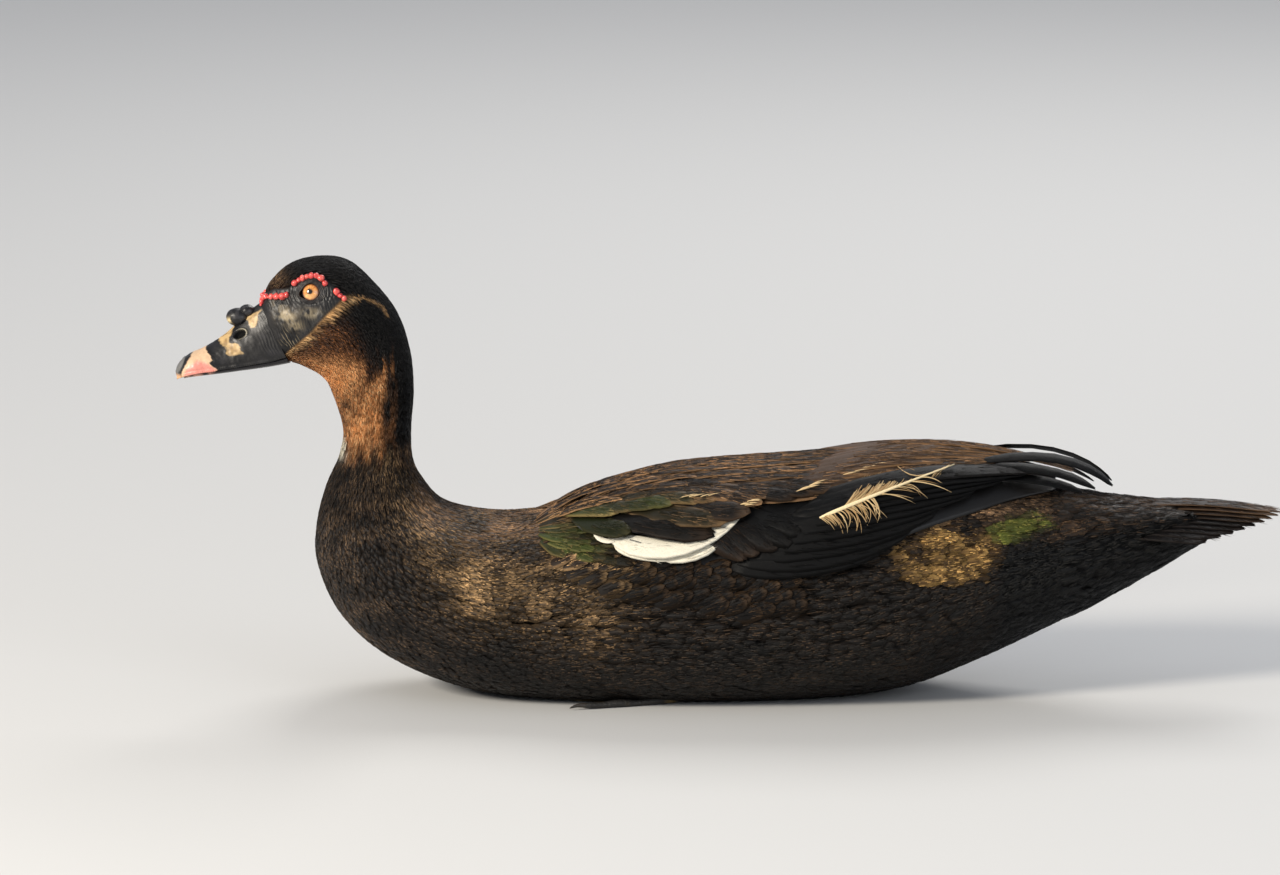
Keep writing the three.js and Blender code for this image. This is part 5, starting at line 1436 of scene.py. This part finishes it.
def makeFeet():
    # each toe is a tapered tube with knuckles; webs are sheets between neighbours with radial
    # folds; claws are curved cones; the shank runs back under the body
    draw = {"toe": [], "claw": []}
    root = np.array(foot["root"], float)
    ends = []
    for spread, length in foot["toes"]:
        t = np.linspace(0, 1, 90)
        knuckle = 1 + 0.12 * np.cos(2 * pi * t * round(length / 24)) * ramp(0.05, 0.2, t)
        wide = np.interp(t, [0, 1], foot["wide"]) * knuckle
        high = np.interp(t, [0, 1], foot["high"]) * knuckle
        ends.append((cos(spread), sin(spread), length))
        path = root + np.stack([-cos(spread) * length * t, sin(spread) * length * t, 0 * t], -1)
        path[:, 2] = np.maximum(high + 0.25, root[2] * (1 - t * 3)) + 0.25 * np.sin(t * 9)
        closed = np.sqrt(np.clip(1 - ((t - 0.5) / 0.5) ** 14, 0.02, 1))
        draw["toe"].append(closedLoft(tube(path, wide * closed, high * closed, 20, 0.28, foot["scute"])))
        s = np.linspace(0, 1, 20)
        far, thick = foot["claw"]
        tip = path[-4]
        curve = tip + np.stack([-cos(spread) * far * s, sin(spread) * far * s,
                                1.2 * np.sin(s * 2.6) - 1.5 * s], -1)
        r = thick * np.sqrt(1 - s * 0.985) * 0.95
        curve[:, 2] = np.maximum(curve[:, 2], r + 0.1)
        draw["claw"].append(closedLoft(tube(curve, r * 0.8, r, 14)))
    hindFrom, hindTo, r = foot["hind"]
    t = np.linspace(0, 1, 24)[:, None]
    path = np.array(hindFrom) * (1 - t) + np.array(hindTo) * t
    taper = r * (1 - 0.35 * t[:, 0]) * np.sqrt(np.clip(1 - (2 * t[:, 0] - 1) ** 10, 0.02, 1))
    draw["toe"].append(closedLoft(tube(path, taper, taper, 16, 0.2, 2.4)))
    path = np.array(hindTo) + np.array([5.5, 3.8, -0.9]) * t
    taper = 1.1 * (1 - 0.9 * t[:, 0])
    draw["claw"].append(closedLoft(tube(path, taper, taper, 12)))
    a, b, thin, thick = foot["shank"]
    t = np.linspace(0, 1, 80)[:, None]
    path = np.array(a) * (1 - t) + np.array(b) * t
    end = np.sqrt(np.clip(1 - (2 * t[:, 0] - 1) ** 12, 0.05, 1))
    wide = (thin + (thick - thin) * t[:, 0]) * end
    draw["toe"].append(closedLoft(tube(path, wide, wide * 0.96, 26, 0.3, foot["scute"] * 1.2)))
    for (c0, s0, l0), (c1, s1, l1) in zip(ends[:-1], ends[1:]):
        u = np.linspace(0, 1, 26)[None]
        v = np.linspace(0.02, 1, 60)[:, None]
        reach = (l0 * (1 - u) + l1 * u) * (0.93 - 0.34 * np.sin(pi * u))
        cosine, sine = c0 * (1 - u) + c1 * u, s0 * (1 - u) + s1 * u
        bent = noise(np.stack([v * 30 + 0 * u, u * 8 + 0 * v, 0 * u * v], -1), 6, 50)
        folds = 0.28 * np.cos(2 * pi * u * 4 + 3 * bent)
        middle = foot["web"][0] + folds * np.sin(pi * u) * v + 0.25
        sheet = np.stack([root[0] - cosine * reach * v, root[1] + sine * reach * v, middle + 0 * v], -1)
        half = foot["web"][1] * 0.8 * np.sin(pi * np.clip(u, 0.05, 0.95)) ** 0.3 * ramp(1.02, 0.94, v) + 0.05
        top, bottom = sheet + half[..., None] * [0, 0, 1], sheet - half[..., None] * [0, 0, 1]
        draw["toe"].append(closedLoft(np.concatenate([top, bottom[:, ::-1]], 1)))
    for name, finish in (("toe", "foot"), ("claw", "claw")):
        offsets = np.cumsum([0] + [len(p) for p, _ in draw[name][:-1]])
        points = np.concatenate([p for p, _ in draw[name]])
        faces = [f + o for (_, parts), o in zip(draw[name], offsets) for f in parts]
        tint = mottled(points, "242220", "6f5a2c", 9, 51, 0.8)
        if name == "claw":
            tint = mixed(tone("141210"), tone("3c342a"), noise(points, 9, 51))
        stems = ["foot", "leg"] if name == "toe" else []
        bothSides(f"{name}s", points, faces, finish, "leg_skin", stems, tint)


# The coat of the body: each tract has its sections, its lines round the body, the step between
# roots, and the size and lift of its feathers
coats = [
    {"name": "coat_head", "k": (0.05, 6.9), "lines": 116, "step": 1.8, "length": 5.4, "half": 0.95,
     "heights": (-0.8, -0.12, 0.16), "flat": (0.1, 0.06), "strands": 4, "wide": 0.3, "lift": 0.08,
     "pieces": 3, "slot": "head_skin"},
    {"name": "coat_neck", "k": (6.6, 11.6), "lines": 96, "step": 2.3, "length": 9.0, "half": 1.25,
     "heights": (-1.4, -0.2, 0.25), "flat": (0.12, 0.08), "strands": 7, "wide": 0.36, "lift": 0.1,
     "pieces": 2, "slot": "neck_feathers"},
    {"name": "coat_breast", "k": (11.3, 16.6), "lines": 104, "step": 3.9, "length": 14.0, "half": 2.9,
     "heights": (-3.2, -0.3, 0.2), "flat": (0.1, 0.06), "strands": 11, "wide": 0.5, "lift": 0.16,
     "pieces": 3, "slot": "body_feathers"},
    {"name": "coat_body", "k": (16.3, 22.5), "lines": 84, "step": 5.8, "length": 23.0, "half": 4.5,
     "heights": (-4.0, -0.4, 0.25), "flat": (0.12, 0.07), "strands": 18, "wide": 0.55, "lift": 0.2,
     "pieces": 3, "slot": "body_feathers"},
    {"name": "coat_rump", "k": (22.0, 24.9), "lines": 48, "step": 5.2, "length": 24.0, "half": 4.6,
     "heights": (-4.0, 0.2, 1.3), "flat": (0.16, 0.1), "strands": 16, "wide": 0.55, "lift": 0.2,
     "pieces": 1, "slot": "tail_feathers"},
]


def makeCoat():
    for n, c in enumerate(coats):
        k, angle = tract(*c["k"], c["lines"], c["step"], 100 + n)
        keep = ~wingCovered(k, angle)
        if c["name"] == "coat_head":
            at = bodyForm(k, angle)
            ragged = 1.6 * noise(at, 1.5, 35) - 0.5
            keep &= insideOf(face["bare"], at[:, 0], at[:, 2]) < ragged
        k, angle = k[keep], angle[keep]
        draw = np.random.default_rng(200 + n)
        length = c["length"] * draw.uniform(0.8, 1.2, len(k))
        half = c["half"] * draw.uniform(0.85, 1.15, len(k))
        if c["name"] == "coat_head":
            size = ramp(0, 2.5, k) * 0.5 + 0.5
            length, half = length * size, half * size
        at = bodyForm(k, angle)
        turn = -0.4 * spot(at[:, 0], at[:, 2], -100, 88, 50, 30)
        f = bodyPlumes(k, angle, length, half, c["heights"], turn, c["k"], 300 + n)
        f.rim = 0.3 + 0.7 * ramp(0.55, 0.85, f.share)
        flat = dict(zip(("thick", "ridge"), c["flat"]))
        order = np.argsort(k)
        for m, some in enumerate(np.array_split(order, c["pieces"])):
            g = f.only(some)
            barbs = (c["strands"], (0.35, 0.9), (0.35, 0.7), 1.15, c["wide"], c["lift"])
            parts = [vanes(g, **flat, seed=400 + n), strands(g, *barbs, **flat, seed=500 + n)]
            coatPiece(f"{c['name']}_{m + 1}", parts, "plumage", c["slot"])


# Floor, light and camera

def makeStage():
    stageSize = 12.0
    floorPoints = np.array([(-1, -1, 0), (1, -1, 0), (1, 1, 0), (-1, 1, 0)]) * stageSize
    mesh = bpy.data.meshes.new("floor")
    mesh.from_pydata([tuple(p) for p in floorPoints], [], [(0, 1, 2, 3)])
    floor = bpy.data.objects.new("floor", mesh)
    bpy.context.scene.collection.objects.link(floor)
    f = Finish("floor_paint", Roughness=0.6)
    f.shader.inputs["Base Color"].default_value = (0.62, 0.62, 0.61, 1)
    mesh.materials.append(f.material)
    world = bpy.data.worlds.new("studio")
    world.use_nodes = True
    sky = world.node_tree.nodes["Background"]
    sky.inputs["Color"].default_value = (0.86, 0.9, 1.0, 1)
    sky.inputs["Strength"].default_value = 0.42
    bpy.context.scene.world = world
    lamps = [  # name, place, aim, size, power and colour of each soft lamp
        ("key", (-2.5, -1.9, 1.6), (-0.05, 0, 0.12), 0.8, 150, (1.0, 0.92, 0.8)),
        ("fill", (1.8, -2.4, 1.2), (0, 0, 0.1), 2.0, 22, (0.9, 0.95, 1.0)),
        ("rim", (0.6, 2.2, 2.0), (0, 0, 0.12), 1.4, 35, (1.0, 0.98, 0.95)),
    ]
    for name, place, aim, size, power, colour in lamps:
        data = bpy.data.lights.new(name, "AREA")
        data.size, data.energy, data.color = size, power, colour
        lamp = bpy.data.objects.new(name, data)
        lamp.location = place
        toward = Vector(aim) - Vector(place)
        lamp.rotation_euler = toward.to_track_quat("-Z", "Y").to_euler()
        bpy.context.scene.collection.objects.link(lamp)


def makeCamera():
    # a long lens from the left side, a little above: the frame is as wide as the photo's at the bird
    shot = {"elevation": radians(10), "distance": 8.0, "width": 0.7744, "x": -0.0538, "height": 0.15452}
    data = bpy.data.cameras.new("camera")
    data.sensor_width = 36
    data.lens = data.sensor_width * shot["distance"] / shot["width"]
    data.clip_end = 100
    camera = bpy.data.objects.new("camera", data)
    back = Vector((0, -cos(shot["elevation"]), sin(shot["elevation"])))
    camera.location = Vector((shot["x"], 0, shot["height"])) + back * shot["distance"]
    camera.rotation_euler = (-back).to_track_quat("-Z", "Y").to_euler()
    bpy.context.scene.collection.objects.link(camera)
    bpy.context.scene.camera = camera
    bpy.context.scene.view_settings.view_transform = "Standard"


makeCamera()
makeStage()
makeSkin()
makeEyes()
makeLids()
makeCaruncles()
makeBill()
makeKnob()
makeCoat()
makeWings()
makeWornFeather()
makePaleBarbs()
makeTail()
makeFeet()
